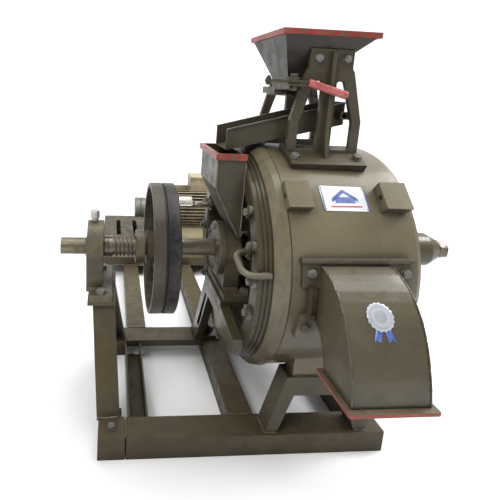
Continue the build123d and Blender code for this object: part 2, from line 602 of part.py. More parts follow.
# bracket and stiffener on the front wall
N["hopper"] = hop
lipb = bx(HOP_X0, HOP_X1, HOP_Y0, HOP_Y1, HOP_Z - 14, HOP_Z)
lipb = soft(lipb, lipb.edges().filter_by(Axis.Z), 6)
lipb = lipb - bx(HOP_X0 + 8, HOP_X1 - 8, HOP_Y0 + 8, HOP_Y1 - 8, HOP_Z - 20, HOP_Z - 2)
lipb = lipb - bx(HOP_X0 + 12, HOP_X1 - 12, HOP_Y0 + 12, HOP_Y1 - 12, HOP_Z - 30, HOP_Z + 2)
lipb = lipb - frustum(HOP_X0 + 8, HOP_X1 - 8, HOP_Y0 + 8, HOP_Y1 - 8, HOP_Z - 12, THR_X0, THR_X1, THR_Y0, THR_Y1, THR_TOP)
N["hopper_lip"] = lipb

# throat with its gate slot
thr = bx(THR_X0, THR_X1, THR_Y0, THR_Y1, THR_BOT, THR_TOP) - bx(THR_X0 + 4, THR_X1 - 4, THR_Y0 + 4, THR_Y1 - 4,
                                                                THR_BOT - 1, THR_TOP + 1)
thr += (bx(THR_X0 - 10, THR_X1 + 6, THR_Y0 - 24, THR_Y1 + 8, THR_BOT - 5, THR_BOT)
        - bx(THR_X0 + 4, THR_X1 - 4, THR_Y0 + 4, THR_Y1 - 4, THR_BOT - 9, THR_BOT + 1))
GZ = 956.0
thr -= bx(THR_X0 - 40, THR_X1 - 3.0, THR_Y0 + 8, THR_Y1 - 8, GZ - 2.4, GZ + 2.4)
PIV = (335.0, -140.0)
# shelf that carries the lever's pivot, forward past the trestle's leg
thr += bx(318, THR_X0 + 14, -154, THR_Y0 + 1, 968, 974)
thr += bx(318, 322, -154, THR_Y0 + 1, 960, 970)
thr -= zc(930, 1000, 5.0, *PIV)
N["throat"] = thr
gate = bx(THR_X0 - 26, THR_X0 + 64.5, THR_Y0 + 9, THR_Y1 - 9, GZ - 2.0, GZ + 2.0)
gate += bx(THR_X0 - 30, THR_X0 - 26, THR_Y0 + 9, THR_Y1 - 9, GZ - 8, GZ + 10)
N["slide_gate"] = gate

# gate lever: flat bar on the pivot, cranked down to the red grip
LZ = 977.0
ux, uy = 0.985, -0.174


def along(d, off=0.0, z=LZ):
    return (PIV[0] + ux * d - uy * off, PIV[1] + uy * d + ux * off, z)


lv = hull([along(d, o, z) for d in (-62, 34) for o in (-9, 9) for z in (LZ, LZ + 6)])
lv += zc(LZ, LZ + 6, 9, *along(-62)[:2])
lv += zc(LZ, LZ + 14, 14, *PIV)
lv += hull([along(33, o, z) for o in (-9, 9) for z in (LZ, LZ + 6)]
           + [along(118, o, z) for o in (-4, 4) for z in (LZ - 25, LZ - 20)])
lv = lv - zc(LZ - 5, LZ + 20, 5.2, *PIV)
lv += zc(LZ - 8, LZ + 16, 4, *along(-62)[:2]) + Pos(*along(-62)[:2], LZ + 6) * extrude(RegularPolygon(7, 6), 6)
lv += Pos(*along(-62)[:2], LZ - 6) * extrude(RegularPolygon(7, 6), 6)
piv = zc(958, LZ + 20, 5.0, *PIV) + Pos(PIV[0], PIV[1], LZ + 14.3) * extrude(RegularPolygon(10, 6), 8)
piv += Pos(PIV[0], PIV[1], 957.5) * extrude(RegularPolygon(10, 6), 10)
N["lever_pivot"] = piv
g0, g1 = along(36, 0, LZ + 2), along(134, 0, LZ - 27)
grip_dir = Vector(*g1) - Vector(*g0)
grip = Plane(origin=Vector(*g0), z_dir=grip_dir).location * (Pos(0, 0, grip_dir.length / 2) * Cylinder(10, grip_dir.length))
grip = soft(grip, grip.edges().filter_by(GeomType.CIRCLE), 5)
grip = grip - lv
N["gate_lever"] = lv
N["lever_grip"] = grip

# --------------------------------------------------------- hopper trestles


def trestle(sgn):
    """Cast trestle in an XZ plane; sgn -1 in front, +1 behind the shaft."""
    t = 13.0
    y0 = sgn * (TRES_Y - t / 2)
    y1 = sgn * (TRES_Y + t / 2)
    cx = TRES_X
    zb = 774.0
    outline = [(cx - 97, zb), (cx - 97, 882), (cx - 64, 1010), (cx - 58, 1018), (cx - 58, 1066),
               (cx + 58, 1066), (cx + 58, 1018), (cx + 64, 1010), (cx + 97, 882), (cx + 97, zb)]
    b = xz(outline, y0, y1)
    win = [(19, 806), (19, 985), (40, 985), (73, 880), (73, 806)]
    for s in (-1, 1):
        w = xz([(cx + s * u, z) for u, z in win], y0 - sgn * 5, y1 + sgn * 5)
        w = soft(w, w.edges().filter_by(Axis.Y), 7)
        b = b - w
    # central rib, deeper at the foot
    ya = sgn * (TRES_Y)
    rib = prism([(cx - 5, ya, 1060), (cx - 5, ya + sgn * 20, 1056), (cx - 5, ya + sgn * 24, 860),
                 (cx - 5, ya + sgn * 40, 762), (cx - 5, ya, 762)], (10, 0, 0))
    b = b + rib
    # saddle on the drum
    a0, a1 = (60.0, 77.5)
    if sgn > 0:
        a0, a1 = 180 - a1, 180 - a0
    b = b + ring_block(cx - 100, cx + 100, a0, a1, DRUM_R0 - 12, DRUM_R0 + 15, 8)
    b = b - DRUM_CONE
    return b


FT, RT = trestle(-1), trestle(1)
HFULL = frustum(HOP_X0 + 8, HOP_X1 - 8, HOP_Y0 + 8, HOP_Y1 - 8, HOP_Z - 12, THR_X0, THR_X1, THR_Y0, THR_Y1, THR_TOP)
# the top plates are cut to the slope of the hopper's front and rear walls
FT, RT = FT - HFULL, RT - HFULL

# ---------------------------------------------------- feed tray and feed box
TR_Y0, TR_Y1 = -72.0, 42.0
TR_S = 0.25             # slope of the tray
tx0, tx1 = 193.0, 516.0


def tz(x):
    return 800.0 + TR_S * (x - 232.0)


tray = xz([(tx0, tz(tx0)), (tx1, tz(tx1)), (tx1, tz(tx1) + 62), (tx0, tz(tx0) + 58)], TR_Y0, TR_Y1)
tray = tray - xz([(tx0 - 20, tz(tx0 - 20) + 3), (tx1 - 3, tz(tx1 - 3) + 3), (tx1 - 3, tz(tx1) + 90),
                  (tx0 - 20, tz(tx0) + 90)], TR_Y0 + 3, TR_Y1 - 3)
# turned edges along both sides
for y0, y1 in ((TR_Y0 - 5, TR_Y0), (TR_Y1, TR_Y1 + 5)):
    tray += xz([(tx0, tz(tx0) + 54), (tx1, tz(tx1) + 58), (tx1, tz(tx1) + 62), (tx0, tz(tx0) + 58)], y0, y1)
TPX, TPZ = 500.0, tz(500.0) + 30.0
# pivot pins stand out from the tray's sides into the trestle posts' brackets
tray += yc(TR_Y0 - 12, TR_Y0, 7, TPX, TPZ) + yc(TR_Y1, TR_Y1 + 12, 7, TPX, TPZ)
N["feed_tray"] = tray
# hanger plates welded to the trestles carry the tray's pivot
hang = []
for s, yw in ((-1, TR_Y0), (1, TR_Y1)):
    yt = s * (TRES_Y - 6.5)
    if s < 0:
        pl = bx(TPX - 10, TPX + 32, yt, TR_Y0 - 6.5, TPZ - 10, TPZ + 10)
    else:
        pl = bx(TPX - 10, TPX + 32, TR_Y1 + 6.5, yt, TPZ - 10, TPZ + 10)
    pl -= yc(-200, 200, 7.06, TPX, TPZ)
    hang.append(pl)
N["hopper_trestles"] = group(FT + hang[0], RT + hang[1])

FB_X0, FB_X1 = 157.0, COVER_X0 - 0.0
FB_Y0, FB_Y1 = -141.0, 58.0
FB_Z = 787.0
fbo = [(FB_X0, FB_Z), (FB_X0, 697), (226, 566), (FB_X1, 560), (FB_X1, FB_Z)]
fbi = [(FB_X0 + 3.5, FB_Z + 5), (FB_X0 + 3.5, 698), (FB_X1 - 1, 572), (FB_X1 + 1, 572), (FB_X1 + 1, 692),
       (FB_X1 - 3.5, 692), (FB_X1 - 3.5, FB_Z + 5)]
fb = xz(fbo, FB_Y0, FB_Y1)
fb = fb - xz([(FB_X0 + 3.5, FB_Z + 5), (FB_X0 + 3.5, 698), (226, 573), (228.5, 573), (228.5, FB_Z + 5)],
             FB_Y0 + 3.5, FB_Y1 - 3.5)
fb += bx(FB_X1 - 0.5, 293.8, -104, 24, 571, 694)
fb = fb - bx(220, 320, -100, 20, 575, 690)
N["feed_box"] = fb
# red angle lip round three sides of the feed box's mouth
fl_ = bx(FB_X0 - 7, FB_X1, FB_Y0 - 7, FB_Y1 + 7, FB_Z - 12, FB_Z + 4) - bx(FB_X0, FB_X1 + 1, FB_Y0, FB_Y1,
                                                                         FB_Z - 30, FB_Z + 3)
fl_ = fl_ - bx(FB_X0 + 3.5, FB_X1 + 1, FB_Y0 + 3.5, FB_Y1 - 3.5, FB_Z, FB_Z + 10)
fl_ = fl_ - bx(FB_X0, FB_X1 + 1, FB_Y0, FB_Y1, FB_Z - 20, FB_Z)
N["feed_box_lip"] = fl_

# --------------------------------------------------- M12 fasteners on the body
bolt((-97, -217, 62), (0, 0, 1), "stand_front_leg")
a = radians(65.0)
for x in (TRES_X - 84, TRES_X + 84):
    for s in (-1, 1):
        r = DRUM_R0 + 15
        bolt((x, s * r * cos(a), SHAFT_Z + r * sin(a)), (0, s * cos(a), sin(a)),
             "hopper_trestles", "drum_casing")
for x in (TRES_X - 37, TRES_X + 37):
    for s in (-1, 1):
        bolt((x, s * (TRES_Y + 6.5), 1042), (0, s, 0), "hopper_trestles", "hopper")
for x in (346, 574):
    y = -sqrt(326.7 ** 2 - 64 ** 2)
    bolt((x, y, SHAFT_Z + 64), (0, -cos(radians(11.2)), sin(radians(11.2))), "outlet_chute", "drum_casing")
# the lower lug's bolt, and cradle and bracket foot bolts
la = radians(-12.25)
bolt((345, -330 * cos(la), SHAFT_Z + 330 * sin(la)), (0, -cos(la), sin(la)), "drum_casing")
bolt((276, 226, 74), (0, 0, 1), "inner_bracket", "centre_rail")

# tie bar from the chute flange down to the lower lug
tie = hull([(x, y, z) for x in (341, 349) for y, z in ((-328, 520), (-334, 520), (-332, 438), (-338, 438))])
tie = tie - xc(300, 400, 326.5) - ring_block(300, 400, -30, 0, 300, 330.5, 6)
N["chute_tie_bar"] = tie

# --------------------------------------------------------- motor bed and motor
pl = bx(PLAT_X0, PLAT_X1, PLAT_Y0, PLAT_Y1, RAIL_H, PLAT_Z)
pl = pl - bx(PLAT_X0 + 8, PLAT_X1 - 8, PLAT_Y0 + 8, PLAT_Y1 - 8, RAIL_H - 1, PLAT_Z - 10)
FEET_X = (235.0, 425.0)
FEET_Y = (MOTOR_Y - 120.0, MOTOR_Y + 120.0)
slots = [(-63.0, 1278.0, 134.0), (36.0, 1278.0, 134.0)]
for fx in FEET_X:
    for fy in FEET_Y:
        slots.append((fx, fy, 80.0))
for sx, sy, hl in slots:
    pl += bx(sx - 24, sx + 24, sy - hl - 12, sy + hl + 12, RAIL_H, PLAT_Z) & bx(
        PLAT_X0, PLAT_X1, PLAT_Y0, PLAT_Y1, RAIL_H, PLAT_Z)
for sx, sy, hl in slots:
    w = 12.5 if hl > 100 else 8.0
    pl -= bx(sx - w, sx + w, sy - hl + w, sy + hl - w, 0, 200)
    pl -= zc(0, 200, w, sx, sy - hl + w) + zc(0, 200, w, sx, sy + hl - w)
N["motor_platform"] = pl

mb = PLAT_Z + 0.3
mx0, mx1 = 170.0, 470.0
mf = xc(mx0, mx1, MOTOR_R - 12, MOTOR_Y, MOTOR_Z) - xc(mx0 - 1, mx1 + 1, MOTOR_R - 26, MOTOR_Y, MOTOR_Z)
fin = bx(mx0 + 8, mx1 - 8, -2.0, 2.0, MOTOR_R - 16, MOTOR_R + 6)
for k in range(44):
    ang = k * 360 / 44
    if 160 < ang < 200 or ang < 14 or ang > 346:
        continue
    mf += Pos(0, MOTOR_Y, MOTOR_Z) * Rot(ang, 0, 0) * fin
for s in (-1, 1):
    yf = MOTOR_Y + s * 120
    mf += bx(FEET_X[0] - 28, FEET_X[1] + 28, min(yf - 26, yf + 26), max(yf - 26, yf + 26), mb, mb + 15)
    mf += hull([(x, y, z) for x in (FEET_X[0] + 14, FEET_X[1] - 14) for y, z in
                ((MOTOR_Y + s * 60, MOTOR_Z - 92), (MOTOR_Y + s * 95, MOTOR_Z - 68), (yf - s * 20, mb + 14),
                 (yf + s * 6, mb + 14))])
mf = mf - xc(mx0 - 1, mx1 + 1, MOTOR_R - 26, MOTOR_Y, MOTOR_Z)
# seat for the terminal box
mf += bx(330, 455, MOTOR_Y - 58, MOTOR_Y + 58, MOTOR_Z + MOTOR_R - 30, MOTOR_Z + MOTOR_R - 2) - xc(
    300, 480, MOTOR_R - 26, MOTOR_Y, MOTOR_Z)
mf = mf - bx(328, 457, MOTOR_Y - 62, MOTOR_Y + 62, MOTOR_Z + MOTOR_R - 2, MOTOR_Z + MOTOR_R + 40)
N["motor_frame"] = mf


def shield(x0, x1, boss):
    return rev_x([(x0, 27), (x0, MOTOR_R - 20), (x0 + 4, MOTOR_R - 6), (x1, MOTOR_R - 6), (x1, MOTOR_R - 22),
                  (x1 - 12, MOTOR_R - 30), (x1 - 14, 60), (x1 + boss, 50), (x1 + boss, 27)], MOTOR_Z, MOTOR_Y)


sh1 = rev_x([(128, 23), (128, 58), (134, 64), (146, 66), (150, MOTOR_R - 14), (154, MOTOR_R - 6), (170, MOTOR_R - 6),
             (170, MOTOR_R - 26), (160, MOTOR_R - 30), (158, 60), (170, 58), (170, 23)], MOTOR_Z, MOTOR_Y)
sh2 = rev_x([(470, 23), (470, 58), (482, 60), (480, MOTOR_R - 30), (470, MOTOR_R - 26), (470, MOTOR_R - 6),
             (486, MOTOR_R - 6), (490, MOTOR_R - 14), (494, 60), (494, 23)], MOTOR_Z, MOTOR_Y)
N["motor_end_shields"] = group(sh1, sh2)
cowl = rev_x([(488.5, MOTOR_R - 5.9), (488.5, MOTOR_R - 2), (566, MOTOR_R - 2), (576, MOTOR_R - 12), (576, 0),
              (573, 0), (573, MOTOR_R - 14), (565, MOTOR_R - 5.9)], MOTOR_Z, MOTOR_Y)
for rr in (26, 46, 66, 86):
    n = max(6, int(rr / 6))
    for k in range(n):
        a = radians(360 * k / n)
        cowl -= xc(570, 580, 5.5, MOTOR_Y + rr * cos(a), MOTOR_Z + rr * sin(a))
cowl = cowl - rev_x([(480, 0), (480, MOTOR_R - 5.9), (488.4, MOTOR_R - 5.9), (488.4, 0)], MOTOR_Z, MOTOR_Y)
N["fan_cowl"] = cowl
tb0 = MOTOR_Z + MOTOR_R - 2
tb = bx(335, 450, MOTOR_Y - 55, MOTOR_Y + 55, tb0, tb0 + 62)
tb = soft(tb, tb.edges().filter_by(Axis.Z), 10)
tb = tb - bx(341, 444, MOTOR_Y - 49, MOTOR_Y + 49, tb0 + 6, tb0 + 56)
lid = Pos(0, 0, 0) * bx(332, 453, MOTOR_Y - 58, MOTOR_Y + 58, tb0 + 62, tb0 + 74)
lid = soft(lid, lid.edges().filter_by(Axis.Z), 12)
lid = soft(lid, lid.edges().group_by(Axis.Z)[-1], 3, chamfer)
N["terminal_box"] = group(tb, lid)
mbolts = []
for fx in FEET_X:
    for fy in FEET_Y:
        p = (fx, fy, mb + 15)
        mbolts.append(hexbolt(p, (0, 0, 1), af=19, head=8, r=6, shank=50, washer=12))
        N["motor_frame"] -= shank(p, (0, 0, 1), 6, 50, 0)
N["motor_bolts"] = group(*mbolts)
msh = xc(26, 500, 19, MOTOR_Y, MOTOR_Z) + xc(130, 480, 22.9, MOTOR_Y, MOTOR_Z)
msh += xc(200, 440, MOTOR_R - 30, MOTOR_Y, MOTOR_Z) + xc(499, 545, 12, MOTOR_Y, MOTOR_Z)
msh = msh - xc(160, 200, 0.5, MOTOR_Y, MOTOR_Z)
N["motor_shaft"] = msh
fan = xc(520, 545, 22, MOTOR_Y, MOTOR_Z) - xc(515, 550, 12, MOTOR_Y, MOTOR_Z)
for k in range(7):
    fan += Pos(0, MOTOR_Y, MOTOR_Z) * Rot(360 / 7 * k, 0, 0) * bx(518, 556, -1.5, 1.5, 20, 104)
fan += rev_x([(517, 20), (517, 100), (519.5, 100), (519.5, 20)], MOTOR_Z, MOTOR_Y)
fan -= xc(500, 545, 12, MOTOR_Y, MOTOR_Z)
N["motor_fan"] = fan
MP = 57.0
mp = rev_x([(26, 19), (26, MP - 2), (28, MP), (52, MP), (54, MP - 4), (57, MP - 4), (59, MP), (84, MP), (86, MP - 2),
            (86, 19)], MOTOR_Z, MOTOR_Y)
N["motor_pulley"] = mp

N["pedestal_bolts"] = group(*(ped_bolts + big))
N["hex_bolts"] = group(*hexes)

# --------------------------------------------------------------- write parts
for name, shape in N.items():
    sols = shape.solids()
    if not sols:
        raise ValueError(name + " has no solid")
    if len(sols) > 1:
        shape = Compound(children=list(sols))
    else:
        shape = sols[0]
    export_step(shape, "parts/" + name + ".step")
    print(name, len(sols), round(shape.volume / 1000.0, 1))
print(len(N), "nodes")
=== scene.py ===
import bpy
import math
import random
from mathutils import Vector, Matrix


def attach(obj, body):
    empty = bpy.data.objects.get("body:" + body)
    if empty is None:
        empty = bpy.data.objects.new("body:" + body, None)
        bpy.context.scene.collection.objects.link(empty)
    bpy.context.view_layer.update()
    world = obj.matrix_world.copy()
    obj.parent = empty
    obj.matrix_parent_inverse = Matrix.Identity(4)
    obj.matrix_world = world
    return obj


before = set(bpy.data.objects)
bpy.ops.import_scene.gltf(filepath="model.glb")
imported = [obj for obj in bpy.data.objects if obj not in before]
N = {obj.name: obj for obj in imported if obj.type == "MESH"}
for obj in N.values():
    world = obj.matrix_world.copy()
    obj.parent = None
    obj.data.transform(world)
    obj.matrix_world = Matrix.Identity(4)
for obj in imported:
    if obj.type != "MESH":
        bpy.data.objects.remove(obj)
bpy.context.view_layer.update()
random.seed(7)
SHAFT_Z = 0.484


# ------------------------------------------------------------- node helpers
class Mat:
    """Small wrapper for building a procedural material."""

    def __init__(self, name):
        self.m = bpy.data.materials.new(name)
        self.m.use_nodes = True
        self.t = self.m.node_tree
        self.t.nodes.clear()
        self.out = self.t.nodes.new("ShaderNodeOutputMaterial")
        self.b = self.t.nodes.new("ShaderNodeBsdfPrincipled")
        self.link(self.b.outputs[0], self.out.inputs[0])
        self.tc = self.t.nodes.new("ShaderNodeTexCoord")
        self.geo = self.t.nodes.new("ShaderNodeNewGeometry")

    def new(self, kind):
        return self.t.nodes.new(kind)

    def link(self, a, b):
        self.t.links.new(a, b)

    def noise(self, scale, detail=4.0, rough=0.55, stretch=None, distortion=0.0):
        n = self.new("ShaderNodeTexNoise")
        n.inputs["Scale"].default_value = scale
        n.inputs["Detail"].default_value = detail
        n.inputs["Roughness"].default_value = rough
        n.inputs["Distortion"].default_value = distortion
        if stretch:
            mp = self.new("ShaderNodeMapping")
            mp.inputs["Scale"].default_value = stretch
            self.link(self.tc.outputs["Object"], mp.inputs["Vector"])
            self.link(mp.outputs[0], n.inputs["Vector"])
        else:
            self.link(self.tc.outputs["Object"], n.inputs["Vector"])
        return n.outputs["Fac"]

    def ramp(self, fac, lo, hi, a=0.0, b=1.0, smooth=True):
        n = self.new("ShaderNodeMapRange")
        n.interpolation_type = "SMOOTHSTEP" if smooth else "LINEAR"
        n.inputs["From Min"].default_value = lo
        n.inputs["From Max"].default_value = hi
        n.inputs["To Min"].default_value = a
        n.inputs["To Max"].default_value = b
        self.link(fac, n.inputs["Value"])
        return n.outputs["Result"]

    def math(self, op, a, b=None, clamp=False):
        n = self.new("ShaderNodeMath")
        n.operation = op
        n.use_clamp = clamp
        for i, v in enumerate((a, b)):
            if v is None:
                continue
            if isinstance(v, (int, float)):
                n.inputs[i].default_value = v
            else:
                self.link(v, n.inputs[i])
        return n.outputs[0]

    def mix(self, fac, a, b, blend="MIX"):
        n = self.new("ShaderNodeMix")
        n.data_type = "RGBA"
        n.blend_type = blend
        for sock, v in ((n.inputs[0], fac), (n.inputs[6], a), (n.inputs[7], b)):
            if isinstance(v, (int, float)):
                sock.default_value = v
            elif isinstance(v, tuple):
                sock.default_value = (v[0], v[1], v[2], 1.0)
            else:
                self.link(v, sock)
        return n.outputs[2]

    def sep(self, vec):
        n = self.new("ShaderNodeSeparateXYZ")
        self.link(vec, n.inputs[0])
        return n.outputs

    def ao(self, dist, samples=6):
        n = self.new("ShaderNodeAmbientOcclusion")
        n.samples = samples
        n.inputs["Distance"].default_value = dist
        return n.outputs["AO"]

    def bump(self, parts, bevel=0.0012):
        """parts: list of (height socket, strength, distance)."""
        prev = None
        if bevel:
            bv = self.new("ShaderNodeBevel")
            bv.samples = 4
            bv.inputs["Radius"].default_value = bevel
            prev = bv.outputs[0]
        for h, strength, dist in parts:
            n = self.new("ShaderNodeBump")
            n.inputs["Strength"].default_value = strength
            n.inputs["Distance"].default_value = dist
            self.link(h, n.inputs["Height"])
            if prev is not None:
                self.link(prev, n.inputs["Normal"])
            prev = n.outputs[0]
        if prev is not None:
            self.link(prev, self.b.inputs["Normal"])
        return prev


# darken_mix scales the painted recess shade with grime in the enamel
def enamel(name, base, dark, light, rough=0.34, coat=0.25, cast=0.3, darken_mix=0.6, wear=0.5, bevel=0.0014,
           chip=(0.045, 0.038, 0.03), brush=0.5, grain=190.0,
           blotch=1.0):
    """Brushed or sprayed oil enamel over steel or cast iron."""
    m = Mat(name)
    big = m.noise(5.0, 5.0, 0.6)
    mid = m.noise(26.0, 6.0, 0.65, distortion=0.4)
    runs = m.noise(9.0, 4.0, 0.6, stretch=(4.0, 4.0, 0.8))
    fine = m.noise(grain, 3.0, 0.6)
    pit = m.noise(grain * 2.3, 2.0, 0.5)
    huge = m.noise(1.7, 3.0, 0.5)
    col = m.mix(m.math("MULTIPLY", m.ramp(big, 0.40, 0.72), 0.42), base, light)
    col = m.mix(m.math("MULTIPLY", m.ramp(huge, 0.45, 0.70), 0.35), col, dark)
    col = m.mix(m.math("MULTIPLY", m.ramp(mid, 0.50, 0.80), 0.20 * blotch), col, dark)
    col = m.mix(m.math("MULTIPLY", m.ramp(runs, 0.52, 0.80), 0.22 * blotch), col, dark)
    speck = m.ramp(m.noise(240.0, 2.0, 0.5), 0.62, 0.70)
    col = m.mix(m.math("MULTIPLY", speck, 0.10), col, (dark[0] * 0.5, dark[1] * 0.5, dark[2] * 0.5))
    up = m.sep(m.geo.outputs["Normal"])[2]
    # upward-facing faces are mixed towards the light tone, broken up by noise: painted top light
    top_light_lift = m.math("MULTIPLY", m.ramp(up, 0.45, 1.0), m.ramp(mid, 0.3, 0.7, 0.4, 0.8))
    col = m.mix(m.math("MULTIPLY", top_light_lift, 0.22), col, light)
    # downward-facing faces are mixed towards a much darker tone: painted shade on the undersides
    underside_shade = m.math("MULTIPLY", m.ramp(up, 0.25, -0.75), m.ramp(big, 0.2, 0.7, 0.8, 1.0), clamp=True)
    col = m.mix(m.math("MULTIPLY", underside_shade, 0.85), col, (dark[0] * 0.42, dark[1] * 0.39, dark[2] * 0.34))
    # ambient-occlusion mask broken up by noise darkens recesses and joins: painted shade in the hollows plus grime;
    # darken_mix sets its strength, and the mask also roughens the paint
    occ = m.ao(0.05)
    recess_shade_and_grime = m.math("MULTIPLY", m.ramp(occ, 0.95, 0.35), m.ramp(mid, 0.2, 0.75, 0.5, 1.0), clamp=True)
    col = m.mix(m.math("MULTIPLY", recess_shade_and_grime, darken_mix), col, (dark[0] * 0.35, dark[1] * 0.33, dark[2] * 0.3))
    edge = m.ramp(m.geo.outputs["Pointiness"], 0.53, 0.60)
    spots = m.ramp(m.noise(70.0, 5.0, 0.7), 0.69, 0.73)
    rub = m.math("MULTIPLY", edge, m.ramp(mid, 0.42, 0.6), clamp=True)
    worn = m.math("MULTIPLY", m.math("MAXIMUM", rub, m.math("MULTIPLY", spots, 0.6)), wear, clamp=True)
    col = m.mix(worn, col, chip)
    m.link(col, m.b.inputs["Base Color"])
    r = m.ramp(mid, 0.25, 0.8, rough - 0.06, rough + 0.16)
    r = m.math("ADD", r, m.math("MULTIPLY", recess_shade_and_grime, 0.2))
    r = m.math("ADD", r, m.math("MULTIPLY", worn, 0.2), clamp=True)
    m.link(r, m.b.inputs["Roughness"])
    m.b.inputs["Coat Weight"].default_value = coat * 0.45
    m.b.inputs["Coat Roughness"].default_value = 0.14
    m.b.inputs["Specular IOR Level"].default_value = 0.26
    strokes = m.noise(34.0, 3.0, 0.6, stretch=(0.45, 2.4, 2.4))
    m.bump([(strokes, 0.12 * brush, 0.002), (big, 0.35 * cast, 0.012), (fine, 0.22 * cast + 0.03, 0.0015),
            (pit, 0.35 * cast, 0.0008), (worn, -0.25 * wear, 0.0006)], bevel)
    return m.m


def steel(name, base=(0.42, 0.40, 0.37), dark=(0.09, 0.075, 0.055), rough=0.3, metal=0.9, stain=0.6, turned=None,
          bevel=0.0008):
    """Machined steel with oil film, brown stain, painted shade in recesses and tool marks."""
    m = Mat(name)
    big = m.noise(11.0, 5.0, 0.65)
    mid = m.noise(60.0, 5.0, 0.7)
    lines = m.noise(420.0, 2.0, 0.5, stretch=turned or (1.0, 0.05, 0.05))
    stain_and_recess_shade = m.math("MULTIPLY", m.ramp(m.math("ADD", m.math("MULTIPLY", big, 0.65), m.math("MULTIPLY", mid, 0.35)),
                                   0.42, 0.62), stain, clamp=True)
    # ambient occlusion is folded into the stain mask: painted shade in recesses, mixed towards the dark stain colour
    # and also lowering metallic and raising roughness
    occ = m.ao(0.03)
    stain_and_recess_shade = m.math("MAXIMUM", stain_and_recess_shade, m.math("MULTIPLY", m.ramp(occ, 0.9, 0.3), 0.8), clamp=True)
    col = m.mix(stain_and_recess_shade, base, dark)
    col = m.mix(m.ramp(m.geo.outputs["Pointiness"], 0.54, 0.62, 0.0, 0.6), col,
                (base[0] * 1.35, base[1] * 1.35, base[2] * 1.35))
    m.link(col, m.b.inputs["Base Color"])
    m.link(m.ramp(stain_and_recess_shade, 0.0, 1.0, metal, metal * 0.45), m.b.inputs["Metallic"])
    m.link(m.math("ADD", m.ramp(mid, 0.3, 0.75, rough - 0.05, rough + 0.14), m.math("MULTIPLY", stain_and_recess_shade, 0.22), clamp=True),
           m.b.inputs["Roughness"])
    m.bump([(lines, 0.12, 0.0006), (mid, 0.12, 0.0008)], bevel)
    return m.m


KH = (0.066, 0.054, 0.029)
KH_D = (0.033, 0.025, 0.012)
KH_L = (0.100, 0.086, 0.053)
drum_m = enamel("khaki_drum_enamel", (0.1347, 0.1128, 0.0678), (0.0752, 0.0573, 0.0270), (0.1825, 0.1606, 0.1074), rough=0.30,
                coat=0.55, cast=0.30, darken_mix=0.75, wear=0.35, brush=0.8, blotch=0.8)
cover_m = enamel("khaki_cover_enamel", (0.0514, 0.0404, 0.0189), (0.0273, 0.0199, 0.0073), (0.0753, 0.0627, 0.0346), rough=0.32,
                 coat=0.5, cast=0.45, darken_mix=0.75, wear=0.4, brush=0.8)
chute_m = enamel("khaki_chute_enamel", (0.0840, 0.0709, 0.0419), (0.0446, 0.0330, 0.0149), (0.1137, 0.0996, 0.0666), rough=0.27,
                 coat=0.65, cast=0.22, darken_mix=0.7, wear=0.3, brush=1.0, blotch=0.8, bevel=0.010)
cast_m = enamel("khaki_cast_iron_enamel", KH, KH_D, KH_L, rough=0.38, coat=0.35, cast=0.9, darken_mix=0.8, wear=0.55)
frame_m = enamel("khaki_frame_enamel", (0.0682, 0.0511, 0.0220), (0.0350, 0.0230, 0.0090), (0.1078, 0.0868, 0.0456), rough=0.44,
                 coat=0.2, cast=0.22, darken_mix=0.9, wear=0.45, brush=0.6, blotch=0.35)
sheet_m = enamel("khaki_sheet_enamel", (0.0586, 0.0487, 0.0280), (0.0276, 0.0210, 0.0111), (0.0894, 0.0770, 0.0489), rough=0.36,
                 coat=0.3, cast=0.12, darken_mix=0.85, wear=0.4, brush=0.9, blotch=0.5)
hopper_m = enamel("khaki_hopper_enamel", (0.0456, 0.0409, 0.0316), (0.0241, 0.0213, 0.0157), (0.0731, 0.0665, 0.0525), rough=0.36,
                  coat=0.35, cast=0.10, darken_mix=0.85, wear=0.5, brush=1.0, blotch=0.5)
pedestal_m = enamel("khaki_pedestal_enamel", (0.1034, 0.0856, 0.0482), (0.0507, 0.0376, 0.0180), (0.1505, 0.1309, 0.0832),
                    rough=0.38, coat=0.3, cast=0.7, darken_mix=0.95, wear=0.5)
motor_m = enamel("motor_enamel", (0.3744, 0.3114, 0.1932), (0.1931, 0.1474, 0.0797), (0.5216, 0.4586, 0.3216), rough=0.40, coat=0.2,
                 cast=0.3, darken_mix=0.9, wear=0.3)
handle_m = enamel("khaki_handle_enamel", (0.1209, 0.1060, 0.0723), (0.0592, 0.0461, 0.0256), (0.1722, 0.1572, 0.1161), rough=0.30,
                  coat=0.5, cast=0.10, darken_mix=0.8, wear=0.8, brush=0.4, bevel=0.0)
bolt_m = enamel("bolt_painted", (0.0935, 0.0799, 0.0527), (0.0340, 0.0281, 0.0187), (0.1615, 0.1462, 0.1105), rough=0.36, coat=0.3,
                cast=0.1, darken_mix=0.9, wear=1.0, chip=(0.16, 0.15, 0.14), bevel=0.0008, grain=400.0)
dark_bolt_m = steel("bolt_blackened", (0.12, 0.112, 0.10), (0.035, 0.028, 0.022), rough=0.36, metal=0.75, stain=0.5,
                    bevel=0.0008)
shaft_m = steel("shaft_oiled_steel", (0.165, 0.143, 0.103), (0.075, 0.059, 0.035), rough=0.30, metal=0.75, stain=0.75,
                turned=(1.0, 0.03, 0.03))
bright_m = steel("bright_steel", (0.50, 0.48, 0.44), (0.11, 0.09, 0.06), rough=0.26, metal=0.95, stain=0.55)
spring_m = steel("spring_steel", (0.150, 0.132, 0.102), (0.035, 0.028, 0.018), rough=0.34, metal=0.85, stain=0.7,
                 bevel=0.0)
iron_m = steel("bare_cast_iron", (0.20, 0.19, 0.18), (0.06, 0.045, 0.035), rough=0.5, metal=0.7, stain=0.6)


